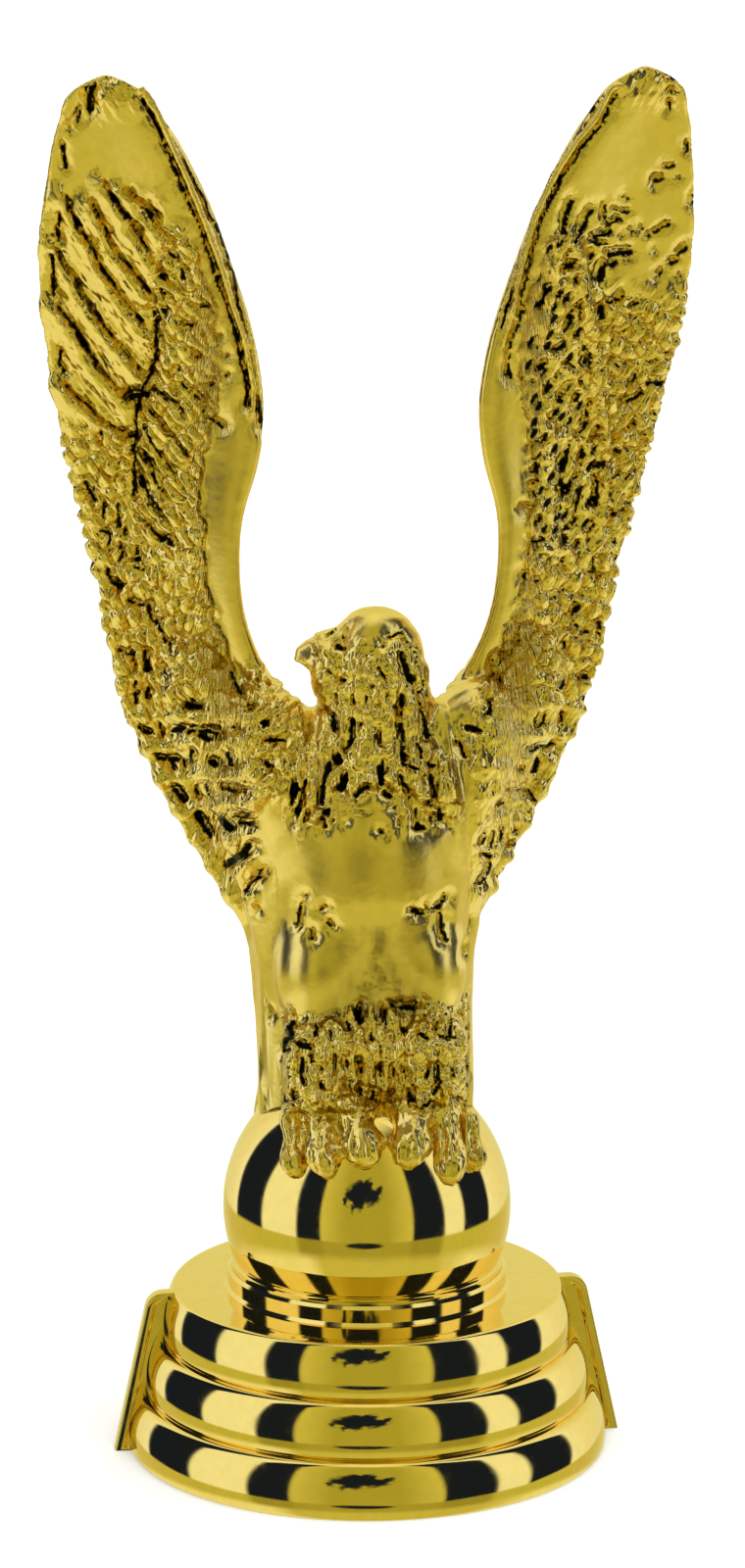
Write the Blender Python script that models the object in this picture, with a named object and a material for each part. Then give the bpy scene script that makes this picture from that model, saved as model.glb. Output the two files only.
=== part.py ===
"""A gold plated trophy figure: an eagle with raised wings that grips a ball, on a round banded plinth.

Everything is worked out in millimetres and scaled to metres when the finished meshes are handed over.
The eagle looks along -Y, its wings spread along X, and the origin is the middle of the plinth's underside.
"""

import math

import bmesh
import bpy
import numpy as np
from mathutils import Matrix, Vector

MM = 0.001

# Driving dimensions in millimetres
BAND_RADIUS = 27.1
BAND_STEP = 2.0
BAND_HEIGHT = 6.2
BAND_COUNT = 3
BAND_BULGE = 1.9
BAND_FLANK = 0.95
BAND_TUCK = 0.3
BAND_TURN = 4.75
DECK_EDGE = 0.35
COLLAR_HEIGHT = 2.2
COLLAR_LEDGE = 1.0
FIN_REACH_FOOT = 1.7
FIN_REACH_TOP = 1.4
FIN_THICKNESS = 1.7
FIN_EDGE = 0.35
BALL_RADIUS = 16.2
BALL_FOOT_DEPTH = 6.8
SEAT_GAP = 0.3
FIGURE_HEIGHT = 113.0

# Linear colour and roughness of the plating
GOLD = (0.80, 0.55, 0.06, 1.0)
GOLD_ROUGHNESS = 0.12

# How finely the solids are faceted
ROUND_SIDES = 48
BAND_ARC_STEPS = 3
TUCK_STEPS = 2
BALL_SIDES = 40
BALL_RINGS = 20
TRUNK_CELL = 0.6
TRUNK_PASSES = 16
CLAY_CELL = 0.5
SOFT_PASSES = 10
CRISP_PASSES = 1
EAGLE_TRIANGLES = 6100

# Places that follow from the driving dimensions
DECK_Z = BAND_COUNT * BAND_HEIGHT
DECK_RADIUS = BAND_RADIUS - (BAND_COUNT - 1) * BAND_STEP - BAND_BULGE + BAND_TUCK
COLLAR_Z = DECK_Z + COLLAR_HEIGHT
BALL_FOOT_Z = COLLAR_Z + SEAT_GAP
BALL_Z = BALL_FOOT_Z + BALL_FOOT_DEPTH
COLLAR_RADIUS = math.sqrt(BALL_RADIUS**2 - BALL_FOOT_DEPTH**2) + COLLAR_LEDGE
PERCH_Z = BALL_Z + BALL_RADIUS

# The figure is drawn 113 units high above the top of the ball, and UNIT is one of those in millimetres
DRAWN_HEIGHT = 113.0
UNIT = FIGURE_HEIGHT / DRAWN_HEIGHT

# Wing outline: distance from the middle plane at a height above the ball, both in figure units
WING_INNER_EDGE = (
    (-8.0, 2.0), (10.0, 3.0), (30.0, 4.0), (38.0, 5.6), (41.7, 8.0), (45.2, 10.7), (50.0, 12.9), (57.0, 14.1),
    (63.0, 13.9), (69.5, 12.2), (75.5, 11.6), (82.0, 12.4), (91.7, 15.2), (101.2, 18.9),
    (107.7, 22.6), (111.3, 25.6), (113.0, 29.0),
)
WING_OUTER_EDGE = (
    (-8.0, 12.2), (4.0, 12.4), (10.0, 12.7), (14.2, 13.2), (20.2, 16.2), (29.6, 21.6), (36.0, 24.7), (43.2, 27.1),
    (53.2, 28.8), (66.9, 32.0), (80.5, 34.7), (92.0, 35.9), (101.0, 35.2), (107.2, 34.1),
    (111.3, 32.2), (113.0, 29.0),
)
WING_FOOT = -8.0
WING_TIP = 112.65
WING_LEAN = 10.0
WING_LEAN_FROM = 36.0
WING_SWEEP = 9.0
WING_SWEEP_SPAN = 114.0
WING_CAMBER = 1.6
WING_NOSE_LENGTH = 4.2
WING_SLIM_CHORD = 12.0
WING_SECTIONS = 60
WING_CHORD_POINTS = 22
WING_NOSE_HALF = 2.3
WING_ROOT_HALF = 3.6
WING_ROOT_FROM = 54.0
WING_ROOT_TO = 26.0
WING_TAIL_HALF = 0.75
WING_TAIL_ROUNDS_FROM = 0.93
WING_ROOT_FADE = (9.5, 15.0)
WING_FOOT_FADE = (15.0, 18.0)

# Fan of the flight feathers: root distance, root height, angle from upright and length along the wing
FAN_AT = (0.0, 0.2, 0.4, 0.55, 0.65, 0.75, 0.85, 0.93, 1.0)
FAN_ROOT_X = (9.5, 13.0, 19.0, 24.0, 26.3, 25.0, 23.9, 22.4, 19.8)
FAN_ROOT_Z = (21.0, 33.0, 50.0, 64.0, 71.5, 78.5, 84.4, 90.5, 95.5)
FAN_ANGLE = (122.0, 110.0, 90.0, 64.0, 47.0, 41.0, 39.0, 44.0, 46.0)
FAN_LENGTH = (8.0, 9.5, 10.0, 9.5, 11.0, 15.0, 16.5, 14.0, 9.0)
FAN_WIDTH = (4.4, 4.6, 4.8, 4.6, 4.4, 4.2, 4.2, 4.0, 3.4)
FLIGHT_FEATHERS = 16
COVERT_ROWS = ((-4.8, 8.0, 22, 0.35), (-8.4, 5.8, 30, 0.6))
FEATHER_DEPTH = 0.9
FEATHER_SOFTNESS = 0.3
FEATHER_TIP_FROM = 0.72
FEATHER_RISE = 0.25
FEATHER_DOME = 0.6
LEADING_BAND = 3.4
LEADING_BAND_FOOT = 38.0
RIM_RELIEF = 0.35
RIM_WIDTH = 2.4
SMOOTH_TIP = 102.0

# Downy feathers in rows of lobes: lower end, height, number round the body, depth, and the half width they keep to
BREAST_ROWS = ((31.6, 5.0, 18, 0.55, 9.0), (28.6, 5.0, 18, 0.45, 9.0))
LEG_ROWS = ((4.2, 3.6, 22, 0.6, 9.5), (1.0, 3.8, 24, 0.8, 10.5), (-2.2, 3.8, 26, 0.7, 10.5))
MANE_ROWS = ((34.8, 8.0, 15, 0.8, 9.0), (41.0, 8.5, 15, 0.5, 9.0))
NECK_AXIS = (0.5, -3.6)
DOWN_SOFTNESS = 0.7
DOWN_TIP = 1.3
BARE_FACE_X = -2.6
BARE_FACE_Z = 41.0
BARE_FACE_FADE = 2.0

# Torso, neck and head sections: height, sideways middle, front-back middle, half width, half depth
TORSO = (
    (-3.0, 0.0, -1.0, 9.0, 6.0), (3.0, 0.0, -1.6, 9.2, 6.2), (9.0, 0.0, -2.0, 9.8, 6.8),
    (16.0, 0.0, -2.2, 10.2, 7.4), (24.0, 0.0, -2.4, 10.4, 8.0), (30.0, 0.0, -2.6, 9.6, 7.8),
    (34.5, 0.2, -2.8, 7.9, 6.9), (38.5, 0.4, -3.2, 6.3, 5.9), (42.0, 0.6, -3.5, 6.1, 5.3),
    (46.5, 0.5, -3.7, 5.5, 5.0), (50.0, 0.4, -3.8, 4.7, 4.3), (52.3, 0.2, -3.8, 3.0, 2.8),
)
# Tail sections while it is clear of the ball: height, front-back middle, half width, half thickness
TAIL_TOP = ((24.0, 2.6, 11.5, 3.0), (15.0, 3.0, 12.7, 3.0), (8.0, 3.6, 12.4, 2.7), (3.0, 4.8, 11.8, 2.3))
# Tail sections that drape over the ball: angle above the ball's equator at its back, half width
TAIL_DRAPE = ((58.0, 11.3), (44.0, 11.2), (28.0, 11.4), (12.0, 11.2), (0.0, 10.6), (-8.0, 9.2))
TAIL_HALF_THICKNESS = 1.5
TAIL_SINK = 1.2
TAIL_BOW = 1.6

# Flanks: height, half width, depth of the front corner and how far it lies inside the half width
FLANKS = (
    (-9.0, 11.0, -2.6, 3.6), (0.0, 12.0, -4.4, 3.6), (6.0, 12.0, -4.8, 3.6), (12.0, 12.2, -5.0, 3.6),
    (18.0, 13.4, -5.0, 4.4), (24.0, 15.4, -4.6, 6.0), (30.0, 17.0, -3.8, 7.6), (36.0, 17.6, -2.4, 8.6),
)
FLANK_BACK = 4.0

# Rounded masses: middle (x, y, z), radii, lean about X, splay about Y. Those with x > 0 are mirrored
TRUNK_MASSES = (
    ((0.0, -2.6, 27.0), (11.5, 7.2, 10.5), 0.0, 0.0),
    ((8.6, -0.6, 33.0), (6.0, 4.2, 12.0), 0.0, 24.0),
    ((14.2, 2.0, 37.0), (6.0, 3.2, 13.0), 0.0, 30.0),
    ((5.0, -4.6, 14.4), (4.6, 4.6, 8.0), -3.0, -12.0),
    ((0.0, -3.6, 12.0), (7.6, 5.2, 8.0), 0.0, 0.0),
)
TUFT_MASSES = (
    ((5.4, -6.2, 4.4), (4.8, 3.8, 5.0), -8.0, 0.0),
    ((5.8, -6.6, 0.6), (4.6, 3.8, 3.8), -14.0, 0.0),
    ((0.0, -6.2, 3.4), (4.6, 3.2, 5.2), -8.0, 0.0),
)
SKULL_MASSES = (
    ((0.3, -3.9, 47.8), (5.1, 4.4, 5.3), 0.0, 0.0),
    ((-3.4, -4.0, 47.6), (3.6, 3.0, 3.5), 0.0, 0.0),
    ((-3.0, -4.0, 45.2), (3.3, 2.8, 3.2), 0.0, 0.0),
)
# Beak: middle (x, y, z), half width, half height at each station from the face to the blunt tip
BEAK = (
    (-3.8, -4.0, 48.0, 2.3, 3.2), (-5.3, -4.0, 48.1, 1.9, 2.7), (-6.5, -4.0, 48.2, 1.5, 2.0),
    (-7.3, -4.0, 48.2, 1.15, 1.5), (-7.8, -4.0, 47.9, 0.8, 1.1), (-8.0, -4.0, 47.3, 0.4, 0.6),
)
# Toes: sideways place of the knuckle and of the tip, the tip's angle above the ball's equator, and half width
TOES = (
    (-8.6, -9.4, 31.0, 1.9), (-5.9, -6.1, 29.0, 1.9), (-2.6, -1.4, 31.0, 2.3),
    (4.2, 3.8, 31.0, 1.9), (7.0, 7.6, 24.0, 2.0), (9.8, 10.8, 31.0, 1.5),
)
TOE_ROOT_ANGLE = 64.0
TOE_STATIONS = 9
TOE_LIFT = 0.45
TOE_SWELL = 0.12
TOE_ROUNDING_FROM = 0.66


def smooth_curve(points, at):
    """A smooth curve through points (height, value), read at the heights in at."""
    knots = np.array([p[0] for p in points], float)
    values = np.array([p[1] for p in points], float)
    slopes = np.gradient(values, knots)
    at = np.clip(np.asarray(at, float), knots[0], knots[-1])
    i = np.clip(np.searchsorted(knots, at) - 1, 0, len(knots) - 2)
    span = knots[i + 1] - knots[i]
    t = (at - knots[i]) / span
    return (
        (2 * t**3 - 3 * t**2 + 1) * values[i]
        + (t**3 - 2 * t**2 + t) * span * slopes[i]
        + (3 * t**2 - 2 * t**3) * values[i + 1]
        + (t**3 - t**2) * span * slopes[i + 1]
    )


def smooth_step(low, high, value):
    """0 below low, 1 above high and a soft rise between them."""
    t = np.clip((np.asarray(value, float) - low) / (high - low), 0.0, 1.0)
    return t * t * (3 - 2 * t)


def clear_scene():
    for obj in list(bpy.data.objects):
        bpy.data.objects.remove(obj, do_unlink=True)


def new_object(name, mesh):
    obj = bpy.data.objects.new(name, mesh)
    bpy.context.scene.collection.objects.link(obj)
    return obj


def mesh_from_bmesh(name, bm):
    bmesh.ops.recalc_face_normals(bm, faces=bm.faces[:])
    mesh = bpy.data.meshes.new(name)
    bm.to_mesh(mesh)
    bm.free()
    return mesh


def loft(bm, rings):
    """A closed skin over rings of points, with both ends filled."""
    made = [[bm.verts.new(point) for point in ring] for ring in rings]
    for low, high in zip(made, made[1:]):
        count = len(low)
        for k in range(count):
            bm.faces.new((low[k], low[(k + 1) % count], high[(k + 1) % count], high[k]))
    bm.faces.new(tuple(reversed(made[0])))
    bm.faces.new(tuple(made[-1]))


def figure_z(height):
    """World height of a height in figure units above the top of the ball."""
    return PERCH_Z + height * UNIT


def ellipse_ring(middle, across, along, sides):
    """Points round an ellipse with the half axes across and along, which are vectors."""
    turns = [2 * math.pi * k / sides for k in range(sides)]
    return [middle + across * math.cos(turn) + along * math.sin(turn) for turn in turns]


def wing_edge_depth(z):
    """How far back (+Y) the leading and the trailing edge lie at a height, in figure units."""
    lead = -WING_LEAN * np.clip((z - WING_LEAN_FROM) / (WING_TIP - WING_LEAN_FROM), 0, 1) ** 1.2
    back = WING_SWEEP * np.sin(math.pi * np.clip((WING_TIP - z) / WING_SWEEP_SPAN, 0, 1)) ** 0.8
    return lead, lead + back


def wing_middle(share, z):
    """The sheet in the middle of the wing: x and y at a share of the chord and a height."""
    inner = smooth_curve(WING_INNER_EDGE, z)
    outer = smooth_curve(WING_OUTER_EDGE, z)
    lead, trail = wing_edge_depth(z)
    x = inner + (outer - inner) * share
    y = lead + (trail - lead) * share + WING_CAMBER * 4 * share * (1 - share)
    return x, y


def wing_half_thickness(share, chord, z):
    """Half the wing's thickness: a round nose, then a long taper to a thin round tail."""
    thickest = WING_NOSE_HALF + (WING_ROOT_HALF - WING_NOSE_HALF) * smooth_step(WING_ROOT_FROM, WING_ROOT_TO, z)
    nose = min(0.5, WING_NOSE_LENGTH / max(chord, 0.1))
    rise = np.sqrt(np.clip(1 - (1 - np.clip(share / nose, 0, 1)) ** 2, 0, 1))
    fall = thickest + (WING_TAIL_HALF - thickest) * smooth_step(nose, 1.0, share)
    rounding = (share - WING_TAIL_ROUNDS_FROM) / (1 - WING_TAIL_ROUNDS_FROM)
    end = np.sqrt(1 - np.clip(rounding, 0, 1) ** 2)
    return rise * fall * end


def wing_rings(side):
    """Level sections of one wing from its root inside the body up to its tip."""
    shares = 0.5 - 0.5 * np.cos(np.linspace(0, math.pi, WING_CHORD_POINTS))
    rings = []
    for k in range(WING_SECTIONS + 1):
        z = WING_FOOT + (WING_TIP - WING_FOOT) * math.sin(0.5 * math.pi * k / WING_SECTIONS)
        chord = float(smooth_curve(WING_OUTER_EDGE, z) - smooth_curve(WING_INNER_EDGE, z))
        slim = min(1.0, chord / WING_SLIM_CHORD)
        x, y = wing_middle(shares, np.full_like(shares, z))
        half = wing_half_thickness(shares, chord, z) * slim
        front = [(side * a, b - h, z) for a, b, h in zip(x, y, half)]
        back = [(side * a, b + h, z) for a, b, h in zip(x, y, half)]
        ring = front + back[-2:0:-1]
        rings.append([Vector((a * UNIT, b * UNIT, figure_z(c))) for a, b, c in ring])
    return rings


def torso_rings():
    rings = []
    heights = np.linspace(TORSO[0][0], TORSO[-1][0], 40)
    columns = [smooth_curve([(row[0], row[k]) for row in TORSO], heights) for k in range(1, 5)]
    for z, x, y, half_width, half_depth in zip(heights, *columns):
        middle = Vector((x * UNIT, y * UNIT, figure_z(z)))
        rings.append(ellipse_ring(middle, Vector((half_width * UNIT, 0, 0)), Vector((0, half_depth * UNIT, 0)), 28))
    return rings


def slab_ring(middle, half_width, outward, half_thickness):
    """A flat section with round ends, thick along outward and wide along X."""
    ring = []
    for k in range(24):
        turn = 2 * math.pi * k / 24
        across = math.copysign(abs(math.cos(turn)) ** 0.35, math.cos(turn)) * half_width
        bow = TAIL_BOW * UNIT * (1 - (across / half_width) ** 2)
        along = math.copysign(abs(math.sin(turn)) ** 0.6, math.sin(turn)) * half_thickness
        ring.append(middle + Vector((across, 0, 0)) + outward * (along + bow))
    return ring


def tail_rings():
    """The tail: straight down the back, then draped over the ball's back."""
    rings = []
    for z, y, half_width, half_thickness in TAIL_TOP:
        middle = Vector((0, y * UNIT, figure_z(z)))
        rings.append(slab_ring(middle, half_width * UNIT, Vector((0, 1, 0)), half_thickness * UNIT))
    for angle, half_width in TAIL_DRAPE:
        outward = Vector((0, math.cos(math.radians(angle)), math.sin(math.radians(angle))))
        middle = Vector((0, 0, BALL_Z)) + outward * (BALL_RADIUS - TAIL_SINK * UNIT)
        rings.append(slab_ring(middle, half_width * UNIT, outward, TAIL_HALF_THICKNESS * UNIT))
    return rings


def add_mass(bm, middle, radii, lean, splay, side=1):
    """One ellipsoid of clay."""
    place = Matrix.Translation(Vector((side * middle[0] * UNIT, middle[1] * UNIT, figure_z(middle[2]))))
    turn = Matrix.Rotation(math.radians(side * splay), 4, "Y") @ Matrix.Rotation(math.radians(lean), 4, "X")
    size = Matrix.Diagonal(Vector(radii) * UNIT).to_4x4()
    bmesh.ops.create_uvsphere(bm, u_segments=24, v_segments=14, radius=1.0, matrix=place @ turn @ size)


def beak_rings():
    rings = []
    previous = None
    for x, y, z, half_width, half_height in BEAK:
        middle = Vector((x * UNIT, y * UNIT, figure_z(z)))
        ahead = (middle - previous).normalized() if previous else Vector((-1, 0, 0))
        previous = middle
        upward = Vector((0, 1, 0)).cross(ahead).normalized()
        rings.append(ellipse_ring(middle, Vector((0, half_width * UNIT, 0)), upward * half_height * UNIT, 14))
    return rings


def ball_point(x, angle, height):
    """A point over the ball's front at a sideways place, an angle above its equator and a height off its skin."""
    reach = math.sqrt(max((BALL_RADIUS + height) ** 2 - x**2, 0.0))
    turn = math.radians(angle)
    return Vector((x, -reach * math.cos(turn), BALL_Z + reach * math.sin(turn)))


def toe_rings(root_x, tip_x, tip_angle, half_width):
    """One toe with a bulging pad and a claw, laid over the front of the ball."""
    rings = []
    for k in range(TOE_STATIONS):
        along = k / (TOE_STATIONS - 1)
        angle = TOE_ROOT_ANGLE + (tip_angle - TOE_ROOT_ANGLE) * along
        x = (root_x + (tip_x - root_x) * along) * UNIT
        girth = half_width * (1.0 + TOE_SWELL * math.sin(3 * math.pi * along))
        rounding = max(0.0, (along - TOE_ROUNDING_FROM) / (1 - TOE_ROUNDING_FROM))
        girth *= math.sqrt(max(0.06, 1 - rounding**2))
        middle = ball_point(x, angle, TOE_LIFT * UNIT)
        outward = (middle - Vector((0, 0, BALL_Z))).normalized()
        rings.append(ellipse_ring(middle, Vector((girth * UNIT, 0, 0)), outward * girth * 0.9 * UNIT, 12))
    return rings


def flank_rings():
    """The trunk's flat front with its slanting sides, wide above where the wings spring."""
    rings = []
    for z, half_width, front, slant in FLANKS:
        corners = ((half_width, 0.0), (half_width, FLANK_BACK), (-half_width, FLANK_BACK), (-half_width, 0.0))
        corners += ((slant - half_width, front), (half_width - slant, front))
        rings.append([Vector((x * UNIT, y * UNIT, figure_z(z))) for x, y in corners])
    return rings


def add_masses(bm, masses):
    """Ellipsoids of clay, with those to one side mirrored."""
    for middle, radii, lean, splay in masses:
        for side in (1, -1) if middle[0] else (1,):
            add_mass(bm, middle, radii, lean, splay, side)


def trunk_clay():
    """The masses of the trunk, which flow into each other: torso, flanks, shoulders, breast and thighs."""
    bm = bmesh.new()
    loft(bm, torso_rings())
    loft(bm, flank_rings())
    add_masses(bm, TRUNK_MASSES)
    return mesh_from_bmesh("trunk_clay", bm)


def soft_clay():
    """The forms that keep more of their edge: wings, tail, skull and the tufts on the legs."""
    bm = bmesh.new()
    for side in (1, -1):
        loft(bm, wing_rings(side))
    loft(bm, tail_rings())
    add_masses(bm, TUFT_MASSES)
    for middle, radii, lean, splay in SKULL_MASSES:
        add_mass(bm, middle, radii, lean, splay)
    return mesh_from_bmesh("soft_clay", bm)


def crisp_clay():
    """The small forms that stay sharp: the beak and the toes."""
    bm = bmesh.new()
    loft(bm, beak_rings())
    for toe in TOES:
        loft(bm, toe_rings(*toe))
    return mesh_from_bmesh("crisp_clay", bm)


def evaluated_mesh(obj):
    """The object's mesh with its modifiers applied. The object itself is removed."""
    graph = bpy.context.evaluated_depsgraph_get()
    mesh = bpy.data.meshes.new_from_object(obj.evaluated_get(graph))
    bpy.data.objects.remove(obj, do_unlink=True)
    return mesh


def fused(mesh, cell, passes):
    """One closed skin round all the shells of a mesh, softened by a number of passes."""
    obj = new_object("clay", mesh)
    remesh = obj.modifiers.new("Fuse", "REMESH")
    remesh.mode = "VOXEL"
    remesh.voxel_size = cell
    soften = obj.modifiers.new("Soften", "SMOOTH")
    soften.factor = 0.5
    soften.iterations = passes
    return evaluated_mesh(obj)


def joined(*meshes):
    bm = bmesh.new()
    for mesh in meshes:
        bm.from_mesh(mesh)
    made = bpy.data.meshes.new("joined")
    bm.to_mesh(made)
    bm.free()
    return made


def feather_heights(x, z, root_x, root_z, angle, length, width, lift):
    """Relief of one feather at points of the wing's face: a domed blade that rises to a round tip."""
    turn = math.radians(angle)
    along = ((x - root_x) * math.sin(turn) + (z - root_z) * math.cos(turn)) / length
    across = ((x - root_x) * math.cos(turn) - (z - root_z) * math.sin(turn)) / (0.5 * width)
    tip = np.clip((along - FEATHER_TIP_FROM) / (1 - FEATHER_TIP_FROM), 0, 1)
    blade = np.sqrt(1 - tip**2)
    edge = smooth_step(0.0, FEATHER_SOFTNESS, blade - np.abs(across)) * smooth_step(0.0, 0.1, along)
    return (lift + FEATHER_RISE * along + FEATHER_DOME * (1 - across**2)) * edge


def fan(at):
    """Root, angle, length and width of the flight feather at a share of the way up the wing."""
    return [float(np.interp(at, FAN_AT, row)) for row in (FAN_ROOT_X, FAN_ROOT_Z, FAN_ANGLE, FAN_LENGTH, FAN_WIDTH)]


def wing_relief(x, z):
    """Feather relief over the wing's face, 0 to about 1, from the flight feathers to the small coverts."""
    relief = np.zeros_like(x)
    for at in np.linspace(0, 1, FLIGHT_FEATHERS):
        root_x, root_z, angle, length, width = fan(at)
        relief = np.maximum(relief, feather_heights(x, z, root_x, root_z, angle, length, width, 0.0))
    for offset, length, count, lift in COVERT_ROWS:
        for at in np.linspace(0, 1, count):
            root_x, root_z, angle, _, width = fan(at)
            height = feather_heights(x, z, root_x + offset, root_z, angle, length, width, lift)
            relief = np.maximum(relief, height)
    from_edge = x - smooth_curve(WING_INNER_EDGE, z)
    from_band = np.where(z > LEADING_BAND_FOOT, from_edge - LEADING_BAND, 1.0)
    fade_lead = smooth_step(-0.8, 0.4, from_band)
    fade_tip = 1 - smooth_step(SMOOTH_TIP - 3.0, SMOOTH_TIP, z)
    fade_root = smooth_step(*WING_ROOT_FADE, x) * smooth_step(*WING_FOOT_FADE, z)
    from_rim = smooth_curve(WING_OUTER_EDGE, z) - x
    fade_rim = RIM_RELIEF + (1 - RIM_RELIEF) * smooth_step(0.0, RIM_WIDTH, from_rim)
    return relief * fade_lead * fade_tip * fade_root * fade_rim


def lobe_row(turn, z, row):
    """Relief of one row of lobes that hang round an upright axis, at a share of a turn and a height."""
    foot, height, count, depth, _ = row
    across = 2 * np.mod(turn * count, 1.0) - 1
    end = foot + DOWN_TIP * across**2
    body = smooth_step(end, end + DOWN_SOFTNESS, z) * (1 - smooth_step(foot + 0.55 * height, foot + height, z))
    return depth * body * (0.25 + 0.75 * (1 - across**2))


def down_relief(x, y, z):
    """Relief in figure units of the breast, leg and mane feathers at points of the body."""
    relief = np.zeros_like(x)
    front = smooth_step(0.0, -2.0, y)
    turn = np.arctan2(x, -(y + 1.0)) / (2 * math.pi) + 0.5
    for row in BREAST_ROWS + LEG_ROWS:
        keep = front * (1 - smooth_step(row[4] - 1.0, row[4], np.abs(x)))
        relief = np.maximum(relief, lobe_row(turn, z, row) * keep)
    turn = np.arctan2(x - NECK_AXIS[0], -(y - NECK_AXIS[1])) / (2 * math.pi) + 0.5
    face = smooth_step(BARE_FACE_X, BARE_FACE_X - BARE_FACE_FADE, x)
    face *= smooth_step(BARE_FACE_Z, BARE_FACE_Z + BARE_FACE_FADE, z)
    for row in MANE_ROWS:
        keep = (1 - smooth_step(row[4] - 1.0, row[4], np.abs(x))) * (1 - face)
        relief = np.maximum(relief, lobe_row(turn, z, row) * keep)
    return relief


def carve(mesh):
    """Raises the feathers: every point moves out along its normal by the relief there."""
    count = len(mesh.vertices)
    points = np.empty(count * 3)
    mesh.vertices.foreach_get("co", points)
    points = points.reshape(-1, 3)
    normals = np.empty(count * 3, np.float32)
    mesh.vertices.foreach_get("normal", normals)
    normals = normals.reshape(-1, 3)
    x, y = points[:, 0] / UNIT, points[:, 1] / UNIT
    z = (points[:, 2] - PERCH_Z) / UNIT
    depth = UNIT * np.maximum(FEATHER_DEPTH * wing_relief(np.abs(x), z), down_relief(x, y, z))
    points += normals * depth[:, None]
    mesh.vertices.foreach_set("co", points.ravel())
    mesh.update()


def thinned(mesh, triangles):
    """The same skin with about that many triangles, kept where the form turns."""
    obj = new_object("thinned", mesh)
    split = obj.modifiers.new("Triangles", "TRIANGULATE")
    split.quad_method = "SHORTEST_DIAGONAL"
    collapse = obj.modifiers.new("Thin", "DECIMATE")
    collapse.ratio = min(1.0, triangles / (2 * len(mesh.polygons)))
    return evaluated_mesh(obj)


def eagle_clay():
    trunk = fused(trunk_clay(), TRUNK_CELL, TRUNK_PASSES)
    soft = fused(joined(trunk, soft_clay()), CLAY_CELL, SOFT_PASSES)
    whole = fused(joined(soft, crisp_clay()), CLAY_CELL, CRISP_PASSES)
    carve(whole)
    return thinned(whole, EAGLE_TRIANGLES)


def ball_mesh():
    """The ball, cut flat where it stands on the collar."""
    bm = bmesh.new()
    bmesh.ops.create_uvsphere(
        bm, u_segments=BALL_SIDES, v_segments=BALL_RINGS, radius=BALL_RADIUS, matrix=Matrix.Translation((0, 0, BALL_Z))
    )
    cut = bmesh.ops.bisect_plane(
        bm,
        geom=bm.verts[:] + bm.edges[:] + bm.faces[:],
        plane_co=(0, 0, BALL_FOOT_Z),
        plane_no=(0, 0, -1),
        clear_outer=True,
    )
    rim = [item for item in cut["geom_cut"] if isinstance(item, bmesh.types.BMEdge)]
    bmesh.ops.contextual_create(bm, geom=rim)
    return mesh_from_bmesh("ball", bm)


def union(first, second):
    obj = new_object("union", first)
    other = new_object("other", second)
    weld = obj.modifiers.new("Union", "BOOLEAN")
    weld.operation = "UNION"
    weld.solver = "EXACT"
    weld.object = other
    mesh = evaluated_mesh(obj)
    bpy.data.objects.remove(other, do_unlink=True)
    return mesh


def arc(middle, radius, from_turn, to_turn):
    """Points round part of a circle after its first one, as (radius, height), in turns up from level."""
    points = []
    for k in range(1, BAND_ARC_STEPS + 1):
        turn = from_turn + (to_turn - from_turn) * k / BAND_ARC_STEPS
        points.append((middle[0] + radius * math.cos(turn), middle[1] + radius * math.sin(turn)))
    return points


def band_profile():
    """Half section of the bands from the deck's edge down to the foot, as (radius, height).

    Each band has a round shoulder, a long flank that runs on from it to the widest place, and a lip tucked under.
    """
    profile = [(DECK_RADIUS, DECK_Z)]
    for band in range(BAND_COUNT):
        widest = BAND_RADIUS - (BAND_COUNT - 1 - band) * BAND_STEP
        top = DECK_Z - band * BAND_HEIGHT
        start = profile[-1][0]
        shoulder = widest - start - BAND_FLANK
        drop = BAND_TURN - shoulder
        flank = ((widest - start) ** 2 + drop**2 - shoulder**2) / (2 * BAND_FLANK)
        tilt = math.asin(drop / (flank - shoulder))
        profile += arc((start, top - shoulder), shoulder, math.pi / 2, tilt)
        profile += arc((widest - flank, top - BAND_TURN), flank, tilt, 0.0)
        for k in range(1, TUCK_STEPS + 1):
            turn = 0.5 * math.pi * k / TUCK_STEPS
            under = (BAND_HEIGHT - BAND_TURN) * math.sin(turn)
            profile.append((widest - BAND_TUCK * (1 - math.cos(turn)), top - BAND_TURN - under))
    return profile


def turned(name, profile):
    """A solid of revolution about Z from a half section that starts and ends on the axis."""
    bm = bmesh.new()
    verts = [bm.verts.new((radius, 0, z)) for radius, z in profile]
    edges = [bm.edges.new(pair) for pair in zip(verts, verts[1:])]
    bmesh.ops.spin(
        bm, geom=verts + edges, cent=(0, 0, 0), axis=(0, 0, 1), angle=2 * math.pi, steps=ROUND_SIDES, use_merge=True
    )
    bmesh.ops.remove_doubles(bm, verts=bm.verts[:], dist=1e-4)
    return mesh_from_bmesh(name, bm)


def plinth_body():
    profile = [(0.0, COLLAR_Z), (COLLAR_RADIUS - DECK_EDGE, COLLAR_Z), (COLLAR_RADIUS, COLLAR_Z - DECK_EDGE)]
    profile.append((COLLAR_RADIUS, DECK_Z))
    profile += band_profile()
    profile.append((0.0, 0.0))
    return turned("plinth", profile)


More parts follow.
